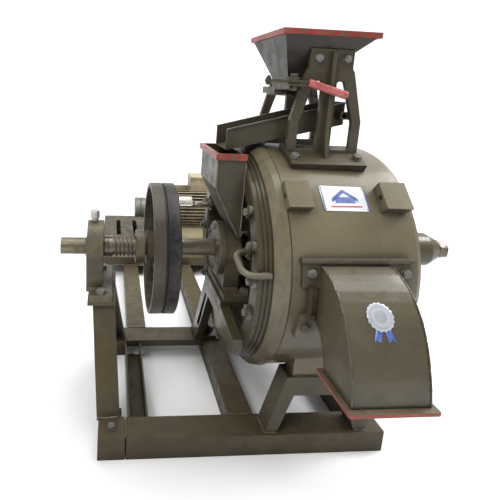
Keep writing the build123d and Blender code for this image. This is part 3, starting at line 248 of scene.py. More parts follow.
def red_edge(name, khaki_top):
    m = Mat(name)
    big = m.noise(14.0, 5.0, 0.6)
    mid = m.noise(75.0, 6.0, 0.7)
    col = m.mix(m.ramp(big, 0.35, 0.7), (0.200, 0.024, 0.014), (0.300, 0.046, 0.030))
    col = m.mix(m.ramp(mid, 0.52, 0.78, 0.0, 0.6), col, (0.110, 0.018, 0.012))
    if khaki_top:
        up = m.sep(m.geo.outputs["Normal"])[2]
        k = m.mix(m.ramp(big, 0.35, 0.7), (0.140, 0.122, 0.082), (0.080, 0.066, 0.040))
        lim = m.math("ADD", m.math("ABSOLUTE", up), m.math("MULTIPLY", mid, 0.25))
        col = m.mix(m.ramp(lim, 0.85, 1.0), col, k)
    worn = m.math("MULTIPLY", m.ramp(m.geo.outputs["Pointiness"], 0.53, 0.58), m.ramp(mid, 0.45, 0.6), clamp=True)
    spots = m.ramp(m.noise(120.0, 4.0, 0.7), 0.68, 0.72)
    worn = m.math("MAXIMUM", worn, m.math("MULTIPLY", spots, 0.7), clamp=True)
    col = m.mix(m.math("MULTIPLY", worn, 0.75), col, (0.10, 0.075, 0.055))
    # ambient occlusion darkens recesses: painted shade
    occ = m.ao(0.03)
    col = m.mix(m.ramp(occ, 0.9, 0.3, 0.0, 0.6), col, (0.05, 0.02, 0.015))
    m.link(col, m.b.inputs["Base Color"])
    m.link(m.ramp(mid, 0.3, 0.8, 0.30, 0.52), m.b.inputs["Roughness"])
    m.b.inputs["Coat Weight"].default_value = 0.1
    m.b.inputs["Specular IOR Level"].default_value = 0.25
    m.bump([(big, 0.10, 0.003), (mid, 0.12, 0.0012)], 0.0012)
    return m.m


red_m = red_edge("red_enamel", False)
red_out_m = red_edge("red_enamel_outlet", True)


def pulley_material():
    m = Mat("pulley_two_band")
    x = m.sep(m.tc.outputs["Object"])[0]
    big = m.noise(9.0, 5.0, 0.65)
    mid = m.noise(55.0, 6.0, 0.7)
    streak = m.noise(60.0, 4.0, 0.6, stretch=(3.0, 0.25, 0.25))
    left = m.mix(m.ramp(big, 0.35, 0.7), (0.036, 0.029, 0.019), (0.060, 0.051, 0.037))
    left = m.mix(m.ramp(mid, 0.5, 0.8, 0.0, 0.7), left, (0.06, 0.05, 0.038))
    right = m.mix(m.ramp(big, 0.35, 0.7), (0.0045, 0.0045, 0.008), (0.010, 0.0105, 0.016))
    right = m.mix(m.ramp(mid, 0.55, 0.8, 0.0, 0.35), right, (0.020, 0.018, 0.016))
    wob = m.math("ADD", x, m.math("MULTIPLY", m.math("SUBTRACT", mid, 0.5), 0.003))
    side = m.ramp(wob, 0.0345, 0.0375)
    # spokes and hub inside the rim stay khaki
    y, z = m.sep(m.tc.outputs["Object"])[1], m.sep(m.tc.outputs["Object"])[2]
    dz = m.math("SUBTRACT", z, SHAFT_Z)
    rad = m.math("SQRT", m.math("ADD", m.math("MULTIPLY", y, y), m.math("MULTIPLY", dz, dz)))
    inside = m.ramp(rad, 0.179, 0.183, 1.0, 0.0)
    khaki = m.mix(m.ramp(mid, 0.3, 0.75), (0.075, 0.061, 0.038), (0.038, 0.030, 0.017))
    col = m.mix(side, left, right)
    col = m.mix(m.math("MULTIPLY", m.ramp(streak, 0.55, 0.75), 0.16), col, (0.050, 0.045, 0.037))
    col = m.mix(inside, col, khaki)
    # ambient occlusion darkens recesses: painted shade
    occ = m.ao(0.04)
    col = m.mix(m.ramp(occ, 0.9, 0.3, 0.0, 0.75), col, (0.025, 0.02, 0.014))
    edge = m.math("MULTIPLY", m.ramp(m.geo.outputs["Pointiness"], 0.52, 0.58), m.ramp(mid, 0.35, 0.55), clamp=True)
    col = m.mix(m.math("MULTIPLY", edge, 0.45), col, (0.095, 0.084, 0.066))
    m.link(col, m.b.inputs["Base Color"])
    m.link(m.math("MULTIPLY", edge, 0.6), m.b.inputs["Metallic"])
    m.link(m.ramp(mid, 0.3, 0.8, 0.34, 0.58), m.b.inputs["Roughness"])
    m.b.inputs["Coat Weight"].default_value = 0.05
    m.b.inputs["Specular IOR Level"].default_value = 0.2
    m.bump([(streak, 0.12, 0.001), (big, 0.15, 0.006), (mid, 0.18, 0.0012)], 0.0012)
    return m.m


pulley_m = pulley_material()


def grip_material():
    m = Mat("red_grip_plastic")
    big = m.noise(40.0, 4.0, 0.6)
    fine = m.noise(300.0, 3.0, 0.6)
    col = m.mix(m.ramp(big, 0.3, 0.7), (0.30, 0.060, 0.055), (0.40, 0.110, 0.100))
    # ambient occlusion darkens creases: painted shade
    col = m.mix(m.ramp(m.ao(0.02), 0.9, 0.4, 0.0, 0.6), col, (0.12, 0.01, 0.01))
    m.link(col, m.b.inputs["Base Color"])
    m.link(m.ramp(big, 0.3, 0.8, 0.2, 0.4), m.b.inputs["Roughness"])
    m.bump([(fine, 0.05, 0.0006), (big, 0.08, 0.002)], 0.001)
    return m.m


grip_m = grip_material()


def plastic_material():
    m = Mat("black_fan_plastic")
    big = m.noise(30.0, 4.0, 0.6)
    col = m.mix(m.ramp(big, 0.3, 0.7), (0.018, 0.018, 0.018), (0.04, 0.038, 0.035))
    m.link(col, m.b.inputs["Base Color"])
    m.link(m.ramp(big, 0.3, 0.8, 0.45, 0.65), m.b.inputs["Roughness"])
    m.bump([(m.noise(300.0), 0.08, 0.0008)], 0.0)
    return m.m


plastic_m = plastic_material()


def weld_material():
    m = Mat("painted_weld")
    big = m.noise(40.0, 4.0, 0.6)
    col = m.mix(m.ramp(big, 0.3, 0.7), (0.100, 0.083, 0.050), (0.045, 0.034, 0.020))
    # ambient occlusion darkens the bead's crevices: painted shade
    col = m.mix(m.ramp(m.ao(0.01), 0.9, 0.3, 0.0, 0.8), col, (0.03, 0.023, 0.014))
    m.link(col, m.b.inputs["Base Color"])
    m.link(m.ramp(big, 0.3, 0.8, 0.34, 0.5), m.b.inputs["Roughness"])
    m.b.inputs["Coat Weight"].default_value = 0.3
    m.bump([(m.noise(500.0), 0.2, 0.0008)], 0.0)
    return m.m


weld_m = weld_material()


def grease_material():
    m = Mat("dark_grease")
    big = m.noise(60.0, 4.0, 0.6)
    col = m.mix(m.ramp(big, 0.3, 0.7), (0.035, 0.025, 0.014), (0.09, 0.068, 0.036))
    m.link(col, m.b.inputs["Base Color"])
    m.link(m.ramp(big, 0.3, 0.8, 0.15, 0.35), m.b.inputs["Roughness"])
    m.bump([(big, 0.3, 0.003)], 0.0)
    return m.m


grease_m = grease_material()

ASSIGN = [
    (drum_m, "drum_casing back_cover"),
    (cover_m, "feed_cover inner_bracket"),
    (hopper_m, "hopper"),
    (handle_m, "cover_handles"),
    (chute_m, "outlet_chute"),
    (cast_m, "hopper_trestles tail_bracket drum_cradles"),
    (frame_m, "front_rail centre_rail right_rail left_rail middle_rail rear_rail stand_front_leg stand_rear_leg motor_platform"),
    (sheet_m, "throat feed_tray feed_box chute_tie_bar gate_lever slide_gate"),
    (pedestal_m, "outer_pedestal inner_pedestal inner_bearing_cover spring_collar"),
    (motor_m, "motor_frame motor_end_shields fan_cowl terminal_box"),
    (bolt_m, "hex_bolts pedestal_bolts cover_bolts"),
    (dark_bolt_m, "motor_bolts lever_pivot hammer_pins pulley_key"),
    (shaft_m, "drive_shaft motor_shaft"),
    (bright_m, "shaft_bearings grease_cup_body grease_cup_cap"),
    (spring_m, "lock_rings"),
    (spring_m, "thrust_spring"),
    (iron_m, "screen rotor_discs hammers_a hammers_b hammers_c hammers_d motor_pulley"),
    (red_m, "hopper_lip feed_box_lip"),
    (red_out_m, "outlet_lip"),
    (pulley_m, "mill_pulley"),
    (grip_m, "lever_grip"),
    (plastic_m, "motor_fan"),
]
for mat, names in ASSIGN:
    for n in names.split():
        o = N[n]
        for s in o.material_slots:
            s.link = "OBJECT"
            s.material = mat


# ---------------------------------------------------------------- mesh pieces
def mesh_object(name, verts, faces, mat, smooth=True, body="frame"):
    me = bpy.data.meshes.new(name)
    me.from_pydata([tuple(v) for v in verts], [], faces)
    me.update()
    if smooth:
        for p in me.polygons:
            p.use_smooth = True
    o = bpy.data.objects.new(name, me)
    bpy.context.scene.collection.objects.link(o)
    me.materials.append(mat)
    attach(o, body)
    return o


def bead_data(p0, p1, r, up, verts, faces, ripple=0.0035):
    """Weld bead from p0 to p1: a rippled half-round strip, irregular along its run."""
    p0, p1, up = Vector(p0), Vector(p1), Vector(up).normalized()
    d = (p1 - p0)
    L = d.length
    d.normalize()
    side = d.cross(up).normalized()
    n = max(4, int(L / 0.0016))
    seg = 8
    base = len(verts)
    ph = random.random() * 6
    for i in range(n + 1):
        t = i / n
        s = t * L
        rip = 1.0 + 0.16 * math.sin(2 * math.pi * s / ripple + ph) + 0.10 * math.sin(s * 220 + ph * 3) \
            + 0.10 * (random.random() - 0.5)
        taper = min(1.0, 0.35 + 8 * min(t, 1 - t) * L / 0.03)
        rr = r * rip * taper
        wob = side * (math.sin(s * 90 + ph) * r * 0.22)
        for k in range(seg):
            a = 2 * math.pi * k / seg
            verts.append(p0 + d * s + wob + side * (math.cos(a) * rr) + up * (math.sin(a) * rr * 0.75))
    for i in range(n):
        for k in range(seg):
            a = base + i * seg + k
            b = base + i * seg + (k + 1) % seg
            faces.append((a, b, b + seg, a + seg))
    faces.append(tuple(base + k for k in range(seg))[::-1])
    faces.append(tuple(base + n * seg + k for k in range(seg)))


def welds(name, segs, body="frame", r=0.0034, mat=None):
    v, f = [], []
    for p0, p1, up in segs:
        bead_data([c / 1000 for c in p0], [c / 1000 for c in p1], r, up, v, f)
    return mesh_object(name, v, f, mat or weld_m, True, body)


# base frame joints (mm)
welds("weld_base_front", [
    ((5, -179, 53), (-50, -179, 53), (0, 0.7, 0.7)),
    ((229, -179, 60.4), (299, -179, 60.4), (0, 0.2, 1)),
    ((570, -179, 60.4), (640, -179, 60.4), (0, 0.2, 1)),
    ((-58.5, -250, 60.4), (-58.5, -183, 60.4), (0, 0, 1)),
    ((229, -179, 2), (229, -179, 58), (-0.7, 0.7, 0)),
    ((299, -179, 2), (299, -179, 58), (0.7, 0.7, 0)),
    ((570, -179, 2), (570, -179, 58), (-0.7, 0.7, 0)),
])
welds("weld_base_middle", [
    ((-40, 258, 60.4), (29, 258, 60.4), (0, 0.2, 1)),
    ((229, 176, 60.4), (229, 257, 60.4), (0, 0, 1)),
    ((299, 176, 60.4), (299, 257, 60.4), (0, 0, 1)),
    ((570, 176, 60.4), (570, 257, 60.4), (0, 0, 1)),
    ((-40, 176, 60.4), (-40, 257, 60.4), (0, 0, 1)),
    ((-50, 175, 39), (-50, 175, 51), (-0.5, -0.8, 0)),
    ((5, 175, 39), (5, 175, 51), (0.5, -0.8, 0)),
])
welds("weld_base_rear", [
    ((-40, 1430, 60.4), (29, 1430, 60.4), (0, -0.2, 1)),
    ((-150, 818.4, 62), (-42, 818.4, 62), (0, -1, 0.2)),
    ((29, 818.4, 60), (229, 818.4, 61), (0, -1, 0.2)),
    ((229, 819, 60.4), (299, 819, 60.4), (0, -0.7, 0.7)),
    ((-40, 819, 60.4), (29, 819, 60.4), (0, -0.7, 0.7)),
    ((570, 819, 60.4), (600, 819, 60.4), (0, -0.7, 0.7)),
])
welds("weld_stand", [
    ((-137, -181.5, 62.3), (-75, -181.5, 62.3), (0, -0.6, 0.8)),
    ((-158, -80.5, 345), (-96, -80.5, 345), (0, -1, -0.3)),
    ((-112, 214.6, 60.5), (-50, 214.6, 60.5), (0, 0.6, 0.8)),
    ((-158, 80.5, 345), (-96, 80.5, 345), (0, 1, -0.3)),
    ((-96, -46, 345), (-96, -78, 345), (1, 0, -0.3)),
])
welds("weld_cradles", [
    ((309, -246.4, 60.6), (342, -246.4, 60.6), (0, -0.6, 0.8)),
    ((556, -246.4, 60.6), (589, -246.4, 60.6), (0, -0.6, 0.8)),
    ((308.6, -245, 60.6), (308.6, -191, 60.6), (-0.6, 0, 0.8)),
    ((372, -240.3, 224.4), (526, -240.3, 224.4), (0, -0.5, 0.8)),
    ((371.7, -239, 224.4), (371.7, -196, 224.4), (-0.7, 0, 0.7)),
    ((526.3, -239, 224.4), (526.3, -196, 224.4), (0.7, 0, 0.7)),
    ((309, 190, 60.6), (342, 190, 60.6), (0, -0.6, 0.8)),
    ((556, 190, 60.6), (589, 190, 60.6), (0, -0.6, 0.8)),
    ((309, 246.4, 60.6), (342, 246.4, 60.6), (0, 0.6, 0.8)),
])
welds("weld_feed_box", [
    ((231, -141.3, 566), (231, -141.3, 770), (-0.3, -1, 0)),
    ((231, 58.3, 566), (231, 58.3, 770), (-0.3, 1, 0)),
    ((157.2, -141.2, 698), (157.2, -141.2, 774), (-0.6, -0.6, 0)),
    ((157.4, -141.2, 696), (226, -141.2, 566), (-0.5, -0.8, 0)),
], r=0.0024)
welds("weld_hopper", [
    ((349.8, -66.3, 990.5), (420.2, -66.3, 990.5), (0, -1, 0.2)),
    ((349.6, -66, 990.5), (349.6, 46, 990.5), (-1, 0, 0.2)),
    ((350, 46.3, 990.5), (420, 46.3, 990.5), (0, 1, 0.2)),
], r=0.002)


def seam_curve(x, pts):
    out = []
    for a, b in zip(pts[:-1], pts[1:]):
        out.append(((x, a[0], a[1]), (x, b[0], b[1]), (1 if x > 450 else -1, -0.5, 0.5)))
    return out


CH = [(-322, 566), (-337, 564), (-352, 560), (-373, 552), (-392, 541), (-412, 526), (-430, 508), (-445, 489),
      (-458, 466), (-470, 442), (-480, 415), (-487, 394), (-493, 372), (-498, 346)]
welds("weld_chute", seam_curve(368.2, CH) + seam_curve(535.8, CH), r=0.0022)


def handle_welds():
    segs = []
    for sy in (-1, 1):
        for k in range(9):
            a, b = 0.7 * k, 0.7 * (k + 1)
            segs.append(((231.4, sy * 214 - 14 * math.cos(a), 556 + 14 * math.sin(a)),
                         (231.4, sy * 214 - 14 * math.cos(b), 556 + 14 * math.sin(b)), (-1, 0, 0)))
        for y, z in ((295.4, 538.4), (297.6, 524.2)):
            segs.append(((238, sy * y, z), (260, sy * y, z), (0, sy * 1.0, 0.1)))
    return segs


welds("weld_handles", handle_welds(), r=0.0020)


# ----------------------------------------------------------------- name plate
def plate_material():
    m = Mat("name_plate_print")
    x = m.sep(m.tc.outputs["Object"])[0]
    z = m.sep(m.tc.outputs["Object"])[2]
    big = m.noise(50.0, 4.0, 0.6)
    col = m.mix(m.ramp(big, 0.3, 0.75), (0.72, 0.74, 0.76), (0.55, 0.57, 0.60))
    # blank sign: pale ground, blue frame, a plain blue arch band and a red foot line, no lettering
    ex = m.math("ABSOLUTE", m.math("SUBTRACT", x, 0.455))
    frame_x = m.ramp(ex, 0.0540, 0.0546, smooth=False)
    zc_ = m.math("ABSOLUTE", m.math("SUBTRACT", z, 0.702))
    frame_z = m.ramp(zc_, 0.0265, 0.0271, smooth=False)
    border = m.math("MAXIMUM", frame_x, frame_z, clamp=True)
    roof = m.math("ADD", z, m.math("MULTIPLY", ex, 0.55))
    band = m.math("MULTIPLY", m.ramp(roof, 0.7135, 0.714, smooth=False), m.ramp(roof, 0.7215, 0.722, 1.0, 0.0, smooth=False))
    band = m.math("MULTIPLY", band, m.ramp(ex, 0.034, 0.0345, 1.0, 0.0, smooth=False))
    foot = m.math("MULTIPLY", m.ramp(z, 0.6845, 0.685, smooth=False), m.ramp(z, 0.688, 0.6885, 1.0, 0.0, smooth=False))
    foot = m.math("MULTIPLY", foot, m.ramp(ex, 0.040, 0.0405, 1.0, 0.0, smooth=False))
    panel = m.math("MULTIPLY", m.ramp(z, 0.6930, 0.6935, smooth=False), m.ramp(z, 0.7060, 0.7065, 1.0, 0.0, smooth=False))
    panel = m.math("MULTIPLY", panel, m.ramp(ex, 0.026, 0.0265, 1.0, 0.0, smooth=False))
    col = m.mix(border, col, (0.045, 0.075, 0.23))
    col = m.mix(m.math("MULTIPLY", band, 0.95), col, (0.035, 0.07, 0.27))
    col = m.mix(m.math("MULTIPLY", foot, 0.9), col, (0.42, 0.04, 0.035))
    col = m.mix(m.math("MULTIPLY", panel, 0.9), col, (0.05, 0.09, 0.30))
    # noise dirt darkening the sign
    darken_mix = m.ramp(m.noise(34.0, 6.0, 0.7), 0.52, 0.78, 0.0, 0.45)
    col = m.mix(darken_mix, col, (0.30, 0.27, 0.21))
    m.link(col, m.b.inputs["Base Color"])
    m.link(m.ramp(big, 0.3, 0.8, 0.22, 0.42), m.b.inputs["Roughness"])
    m.b.inputs["Coat Weight"].default_value = 0.4
    m.bump([(m.noise(160.0), 0.06, 0.0008), (border, 0.15, 0.0003)], 0.0)
    return m.m


def cone_r(x):
    """Outer radius of the drum casing at x (mm)."""
    return 321.0 + (312.5 - 321.0) * (x - 304.5) / (617.0 - 304.5)


plate_m = plate_material()


def drum_pt(x, ang, off):
    r = cone_r(x) + off
    return Vector((x / 1000, -r * math.cos(ang) / 1000, SHAFT_Z + r * math.sin(ang) / 1000))


def drum_plate(name, x0, x1, a0, a1, off0, off1, mat, corner=4.0, nu=40, nv=24):
    """Thin plate bent to the drum, with rounded corners and a rolled edge."""
    v, f = [], []
    rmid = cone_r((x0 + x1) / 2)
    hx, ha = (x1 - x0) / 2, (a1 - a0) / 2 * rmid
    cx, ca = (x0 + x1) / 2, (a0 + a1) / 2

    def squash_xy(u, w):
        # round the corners of the unit rectangle
        X, Y = u * hx, w * ha
        ax, ay = abs(X) - (hx - corner), abs(Y) - (ha - corner)
        if ax > 0 and ay > 0:
            d = math.hypot(ax, ay)
            m_ = max(ax, ay)
            k = m_ / d if d > 0 else 1
            ax, ay = ax * k, ay * k
            X = math.copysign(hx - corner + ax, X)
            Y = math.copysign(ha - corner + ay, Y)
        return X, Y
    for lay in (0, 1):
        for i in range(nu + 1):
            for j in range(nv + 1):
                u, w = -1 + 2 * i / nu, -1 + 2 * j / nv
                X, Y = squash_xy(u, w)
                e = max(abs(u), abs(w))
                off = off0 if lay == 0 else off1 - (0.35 if e > 0.985 else 0) + 0.12 * math.sin(7 * u + 3 * w)
                v.append(drum_pt(cx + X, ca + Y / rmid, off))
    w1 = nv + 1
    L = (nu + 1) * w1
    for i in range(nu):
        for j in range(nv):
            a = i * w1 + j
            f.append((a, a + w1, a + w1 + 1, a + 1))
            f.append((L + a, L + a + 1, L + a + w1 + 1, L + a + w1))
    ring = [i * w1 for i in range(nu + 1)] + [nu * w1 + j for j in range(1, nv + 1)] + \
        [i * w1 + nv for i in range(nu - 1, -1, -1)] + [j for j in range(nv - 1, 0, -1)]
    for a, b in zip(ring, ring[1:] + ring[:1]):
        f.append((a, L + a, L + b, b)[::-1])
    return mesh_object(name, v, f, mat, True, "frame")


NP0, NP1 = math.radians(37.5), math.radians(50.0)
drum_plate("name_plate", 396, 514, NP0, NP1, 0.1, 1.5, plate_m)
rv, rf = [], []


def rivet(p, n, r, h, v, f, seg=16, rings=5):
    p, n = Vector(p), Vector(n).normalized()
    t = n.orthogonal().normalized()
    b = n.cross(t)
    base = len(v)
    for i in range(rings):
        a = math.pi / 2 * i / (rings - 1) if rings > 1 else 0
        rr, hh = r * math.cos(a) + 1e-5, h * math.sin(a)
        for k in range(seg):
            c = 2 * math.pi * k / seg
            v.append(p + n * hh + t * (rr * math.cos(c)) + b * (rr * math.sin(c)))
    for i in range(rings - 1):
        for k in range(seg):
            a0 = base + i * seg + k
            b0 = base + i * seg + (k + 1) % seg
            f.append((a0, b0, b0 + seg, a0 + seg))
    f.append(tuple(base + (rings - 1) * seg + k for k in range(seg)))
    f.append(tuple(base + k for k in range(seg))[::-1])


for x in (402, 508):
    for a in (NP0 + 0.018, NP1 - 0.018):
        rivet(drum_pt(x, a, 1.2), (0, -math.cos(a), math.sin(a)), 0.0030, 0.0016, rv, rf)
mesh_object("name_plate_rivets", rv, rf, bright_m, True, "frame")

# motor rating plate on the front of the stator
mv, mf = [], []


def motor_pt(x, ang, off):
    r = 128.0 + 4.0 + off
    return Vector((x / 1000, 1.180 - r * math.cos(ang) / 1000, 0.258 + r * math.sin(ang) / 1000))


def rating_plate():
    v, f = [], []
    nu, nv = 16, 10
    for lay, off in ((0, 0.0), (1, 2.2)):
        for i in range(nu + 1):
            for j in range(nv + 1):
                v.append(motor_pt(265 + 75 * i / nu, math.radians(22 + 24 * j / nv), off + (
                    0.0 if lay == 0 else 0.15 * math.sin(i) * math.cos(j) - (0.5 if i in (0, nu) or j in (0, nv) else 0))))
    w1 = nv + 1
    L = (nu + 1) * w1
    for i in range(nu):
        for j in range(nv):
            a = i * w1 + j
            f.append((a, a + w1, a + w1 + 1, a + 1))
            f.append((L + a, L + a + 1, L + a + w1 + 1, L + a + w1))
    ring = [i * w1 for i in range(nu + 1)] + [nu * w1 + j for j in range(1, nv + 1)] + \
        [i * w1 + nv for i in range(nu - 1, -1, -1)] + [j for j in range(nv - 1, 0, -1)]
    for a, b in zip(ring, ring[1:] + ring[:1]):
        f.append((a, L + a, L + b, b)[::-1])
    for x in (270, 335):
        for a in (25, 43):
            rivet(motor_pt(x, math.radians(a), 2.0), (0, -math.cos(math.radians(a)), math.sin(math.radians(a))),
                  0.0025, 0.0013, v, f)
    return mesh_object("motor_rating_plate", v, f, bright_m, True, "motor")


rating_plate()


# ------------------------------------------------- round badge on the chute
def badge_material():
    m = Mat("badge_print")
    sep = m.sep(m.tc.outputs["UV"])
    u, w = sep[0], sep[1]
    rad = m.math("SQRT", m.math("ADD", m.math("MULTIPLY", u, u), m.math("MULTIPLY", w, w)))
    big = m.noise(60.0, 4.0, 0.6)
    white = m.mix(m.ramp(big, 0.3, 0.7), (0.50, 0.50, 0.50), (0.36, 0.37, 0.39))
    blue = m.mix(m.ramp(big, 0.3, 0.7), (0.06, 0.12, 0.36), (0.10, 0.17, 0.42))
    ring = m.math("MULTIPLY", m.ramp(rad, 0.70, 0.72, smooth=False), m.ramp(rad, 0.80, 0.82, 1.0, 0.0, smooth=False))
    core = m.ramp(rad, 0.44, 0.46, 1.0, 0.0, smooth=False)
    tail = m.ramp(w, -1.02, -0.98, 1.0, 0.0, smooth=False)
    col = m.mix(m.math("MULTIPLY", ring, 0.45), white, blue)
    col = m.mix(m.math("MULTIPLY", core, 0.35), col, (0.16, 0.19, 0.26))
    col = m.mix(tail, col, blue)
    col = m.mix(m.ramp(m.noise(45.0, 6.0, 0.7), 0.55, 0.8, 0.0, 0.4), col, (0.26, 0.24, 0.19))
    m.link(col, m.b.inputs["Base Color"])
    m.link(m.ramp(big, 0.3, 0.8, 0.25, 0.45), m.b.inputs["Roughness"])
    m.link(m.math("MULTIPLY", m.math("SUBTRACT", 1.0, ring), 0.25), m.b.inputs["Metallic"])
    m.bump([(ring, 0.3, 0.0004), (m.noise(200.0), 0.06, 0.0006)], 0.0)
    return m.m


def chute_pt(x, s, off):
    """Point on the chute's front skin; s is the length down it from (y, z) = CH[2] (mm)."""
    pts = CH[2:]
    for i in range(len(pts) - 1):
        a, b = Vector((pts[i][0], pts[i][1])), Vector((pts[i + 1][0], pts[i + 1][1]))
        L = (b - a).length
        if s <= L or i == len(pts) - 2:
            t = s / L
            p = a + (b - a) * t
            d = (b - a).normalized()
            nrm = Vector((d.y, -d.x))
            if nrm.x > 0 and nrm.y < 0:
                nrm = -nrm
            if nrm.x > 0:
                nrm = -nrm
            q = p + nrm * off
            return Vector((x / 1000, q.x / 1000, q.y / 1000))
        s -= L


def badge():
    v, f, uv = [], [], []
    R = 29.0
    cx, cs = 446.0, 99.0
    nr, na = 10, 72

    def top(r, a):
        sc = 1.0 + (0.045 * math.cos(18 * a) if r > 0.99 else 0)
        return r * R * sc * math.cos(a), r * R * sc * math.sin(a)
    lays = []
    for lay, off in ((0, 0.0), (1, 1.4)):
        base = len(v)
        c = chute_pt(cx, cs, off)
        v.append(c)
        uv.append((0, 0))
        for i in range(1, nr + 1):
            for k in range(na):
                X, S = top(i / nr, 2 * math.pi * k / na)
                dome = 0.8 * (1 - (i / nr) ** 2) if lay else 0
                v.append(chute_pt(cx + X, cs - S, off + dome))
                uv.append((i / nr * math.cos(2 * math.pi * k / na), i / nr * math.sin(2 * math.pi * k / na)))
        lays.append(base)
        for k in range(na):
            a, b = base + 1 + k, base + 1 + (k + 1) % na
            f.append((base, a, b) if lay else (base, b, a))
        for i in range(nr - 1):
            for k in range(na):
                a = base + 1 + i * na + k
                b = base + 1 + i * na + (k + 1) % na
                f.append((a, a + na, b + na, b) if lay else (a, b, b + na, a + na))
    for k in range(na):
        a = lays[0] + 1 + (nr - 1) * na + k
        b = lays[0] + 1 + (nr - 1) * na + (k + 1) % na
        c = lays[1] + 1 + (nr - 1) * na + k
        d = lays[1] + 1 + (nr - 1) * na + (k + 1) % na
        f.append((a, b, d, c))
    # two forked ribbon tails
    for sx in (-1, 1):
        n = 10
        for lay, off in ((0, 0.0), (1, 0.9)):
            base = len(v)
            for i in range(n + 1):
                t = i / n
                s = 24 + 26 * t
                mid = sx * (8 + 9 * t)
                for j, w in enumerate((-7.5, 0, 7.5)):
                    notch = -6.0 * (1 if j == 1 else 0) * max(0, t - 0.8) / 0.2
                    v.append(chute_pt(cx + mid + w, cs + s + notch, off + 0.4 * math.sin(5 * t + sx) * lay))
                    uv.append((0.2, -1.3))
            if lay == 0:
                b0 = base
            for i in range(n):
                for j in range(2):
                    a = base + i * 3 + j
                    f.append((a, a + 1, a + 4, a + 3)[::-1] if lay == 0 else (a, a + 1, a + 4, a + 3))
        for i in range(n):
            for j in (0, 2):
                a, b = b0 + i * 3 + j, b0 + (i + 1) * 3 + j
                c, d = base + i * 3 + j, base + (i + 1) * 3 + j
                f.append((a, b, d, c) if j == 2 else (c, d, b, a))
        for i in (0, n):
            for j in range(2):
                a, b = b0 + i * 3 + j, b0 + i * 3 + j + 1
                c, d = base + i * 3 + j, base + i * 3 + j + 1
                f.append((a, b, d, c) if i == 0 else (c, d, b, a))
    o = mesh_object("round_badge", v, f, badge_material(), True, "frame")
    layer = o.data.uv_layers.new(name="badge")
    for loop in o.data.loops:
        layer.data[loop.index].uv = uv[loop.vertex_index]
    return o


badge()


# --------------------------------------- grease pushed out beside the bearings
def grease_ring(name, x, r, w, body="frame", y=0.0, z=484.0, seed=1):
    rnd = random.Random(seed)
    v, f = [], []
    na, nb = 60, 10
    ph = [rnd.random() * 6 for _ in range(4)]
    for i in range(na):
        a = 2 * math.pi * i / na
        k = 1 + 0.22 * math.sin(3 * a + ph[0]) + 0.16 * math.sin(7 * a + ph[1]) + 0.10 * math.sin(13 * a + ph[2])
        k = max(0.35, k + 0.35 * max(0, -math.sin(a)))
        for j in range(nb):
            b = 2 * math.pi * j / nb
            rr = r + w * 0.55 * k * (math.cos(b) * 0.6 + 0.3)
            xx = x + w * 0.5 * k * math.sin(b)
            v.append(Vector((xx / 1000, (y + rr * math.cos(a)) / 1000, (z + rr * math.sin(a)) / 1000)))
    for i in range(na):
        for j in range(nb):
            a, b = i * nb + j, i * nb + (j + 1) % nb
            c, d = ((i + 1) % na) * nb + j, ((i + 1) % na) * nb + (j + 1) % nb
            f.append((a, b, d, c))
    return mesh_object(name, v, f, grease_m, True, body)


grease_ring("grease_outer_left", -179.5, 27.5, 5.0, seed=3)
grease_ring("grease_outer_right", -130.6, 27.5, 4.0, seed=5)
grease_ring("grease_inner", 197.6, 27.5, 4.5, seed=8)


# ---------------------------------------------------------------------- stage
def floor_material():
    m = Mat("studio_floor")
    n = m.noise(3.0, 3.0, 0.5)
    col = m.mix(m.ramp(n, 0.3, 0.7), (0.86, 0.86, 0.86), (0.83, 0.83, 0.83))
    m.link(col, m.b.inputs["Base Color"])
    m.b.inputs["Roughness"].default_value = 0.9
    m.b.inputs["Specular IOR Level"].default_value = 0.1
    p = m.sep(m.tc.outputs["Object"])
    dx, dy = m.math("SUBTRACT", p[0], 0.3), m.math("SUBTRACT", p[1], 0.4)
    d = m.math("SQRT", m.math("ADD", m.math("MULTIPLY", dx, dx), m.math("MULTIPLY", dy, dy)))
    m.b.inputs["Emission Color"].default_value = (1.0, 1.0, 1.0, 1.0)
    m.link(m.ramp(d, 1.3, 4.2, 0.0, 0.66), m.b.inputs["Emission Strength"])
    return m.m


me = bpy.data.meshes.new("studio_floor")
sweep = [(-12.0, -0.0005), (5.0, -0.0005)]
for k in range(1, 25):
    a = math.pi / 2 * k / 24
    sweep.append((5.0 + 4.0 * math.sin(a), 4.0 - 4.0 * math.cos(a)))
sweep.append((9.0, 14.0))
sv, sf = [], []
for y, z in sweep:
    sv.append((-14.0, y, z))
    sv.append((14.0, y, z))
for k in range(len(sweep) - 1):
    sf.append((2 * k, 2 * k + 1, 2 * k + 3, 2 * k + 2))
me.from_pydata(sv, [], sf)
for p in me.polygons:
    p.use_smooth = True
floor = bpy.data.objects.new("studio_floor", me)
bpy.context.scene.collection.objects.link(floor)
me.materials.append(floor_material())

world = bpy.data.worlds.new("studio_world")
bpy.context.scene.world = world
world.use_nodes = True
wt = world.node_tree
wt.nodes.clear()
wo = wt.nodes.new("ShaderNodeOutputWorld")
bg = wt.nodes.new("ShaderNodeBackground")
bg.inputs[0].default_value = (0.95, 0.97, 1.0, 1.0)
bg.inputs[1].default_value = 0.38
bg2 = wt.nodes.new("ShaderNodeBackground")
bg2.inputs[0].default_value = (1.0, 1.0, 1.0, 1.0)
bg2.inputs[1].default_value = 1.0
lp = wt.nodes.new("ShaderNodeLightPath")
mx = wt.nodes.new("ShaderNodeMixShader")
wt.links.new(lp.outputs["Is Camera Ray"], mx.inputs[0])
wt.links.new(bg.outputs[0], mx.inputs[1])
wt.links.new(bg2.outputs[0], mx.inputs[2])
wt.links.new(mx.outputs[0], wo.inputs[0])


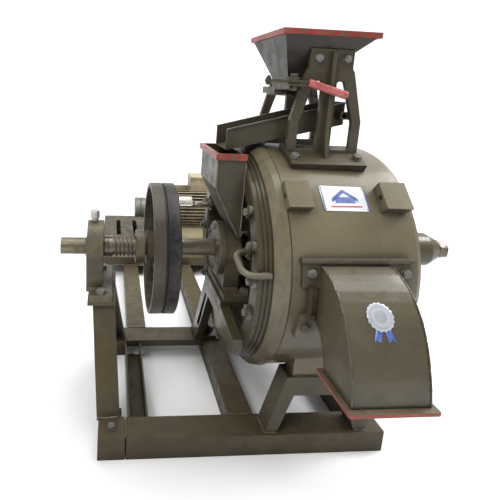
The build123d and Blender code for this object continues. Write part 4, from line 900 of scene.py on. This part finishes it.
def area(name, pos, target, size, power, color=(1, 1, 1)):
    ld = bpy.data.lights.new(name, "AREA")
    ld.shape = "RECTANGLE"
    ld.size, ld.size_y = size
    ld.energy = power
    ld.color = color
    o = bpy.data.objects.new(name, ld)
    bpy.context.scene.collection.objects.link(o)
    o.location = pos
    o.rotation_euler = (Vector(target) - Vector(pos)).to_track_quat("-Z", "Y").to_euler()
    return o


area("key_top_left", (-1.6, -1.7, 3.0), (0.3, 0.0, 0.5), (1.4, 1.4), 72, (1.0, 0.99, 0.97))
area("top_soft", (0.7, 0.5, 3.8), (0.4, 0.3, 0.4), (3.0, 3.0), 115)
area("rim_right", (2.8, 0.2, 2.5), (0.5, 0.0, 0.7), (1.2, 1.2), 95, (0.97, 0.98, 1.0))
area("front_fill", (0.9, -3.6, 1.6), (0.3, 0.0, 0.5), (2.5, 1.2), 6)

# --------------------------------------------------------------------- camera
F_PX, PX, PY = 423.205, 150.0, 165.0
YAW, PITCH, ROLL = math.radians(5.23166), math.radians(10.55618), math.radians(-2.48892)
CAM = Vector((-0.113988, -1.190151, 0.953038))
fwd = Vector((math.sin(YAW) * math.cos(PITCH), math.cos(YAW) * math.cos(PITCH), -math.sin(PITCH)))
right = Vector((math.cos(YAW), -math.sin(YAW), 0.0))
down = fwd.cross(right)
if down.z > 0:
    down = -down
r_ = right * math.cos(ROLL) + down * math.sin(ROLL)
d_ = down * math.cos(ROLL) - right * math.sin(ROLL)
cd = bpy.data.cameras.new("photo_camera")
cd.sensor_width = 36.0
cd.sensor_fit = "HORIZONTAL"
cd.lens = F_PX / 500.0 * 36.0
cd.shift_x = (250.0 - PX) / 500.0
cd.shift_y = (PY - 250.0) / 500.0
cd.clip_start = 0.02
cd.clip_end = 200.0
co = bpy.data.objects.new("photo_camera", cd)
bpy.context.scene.collection.objects.link(co)
X, Y, Z = r_, -d_, -fwd
co.matrix_world = Matrix(((X.x, Y.x, Z.x, CAM.x), (X.y, Y.y, Z.y, CAM.y), (X.z, Y.z, Z.z, CAM.z), (0, 0, 0, 1)))
bpy.context.scene.camera = co
bpy.context.scene.view_settings.view_transform = "Standard"

bpy.context.view_layer.update()
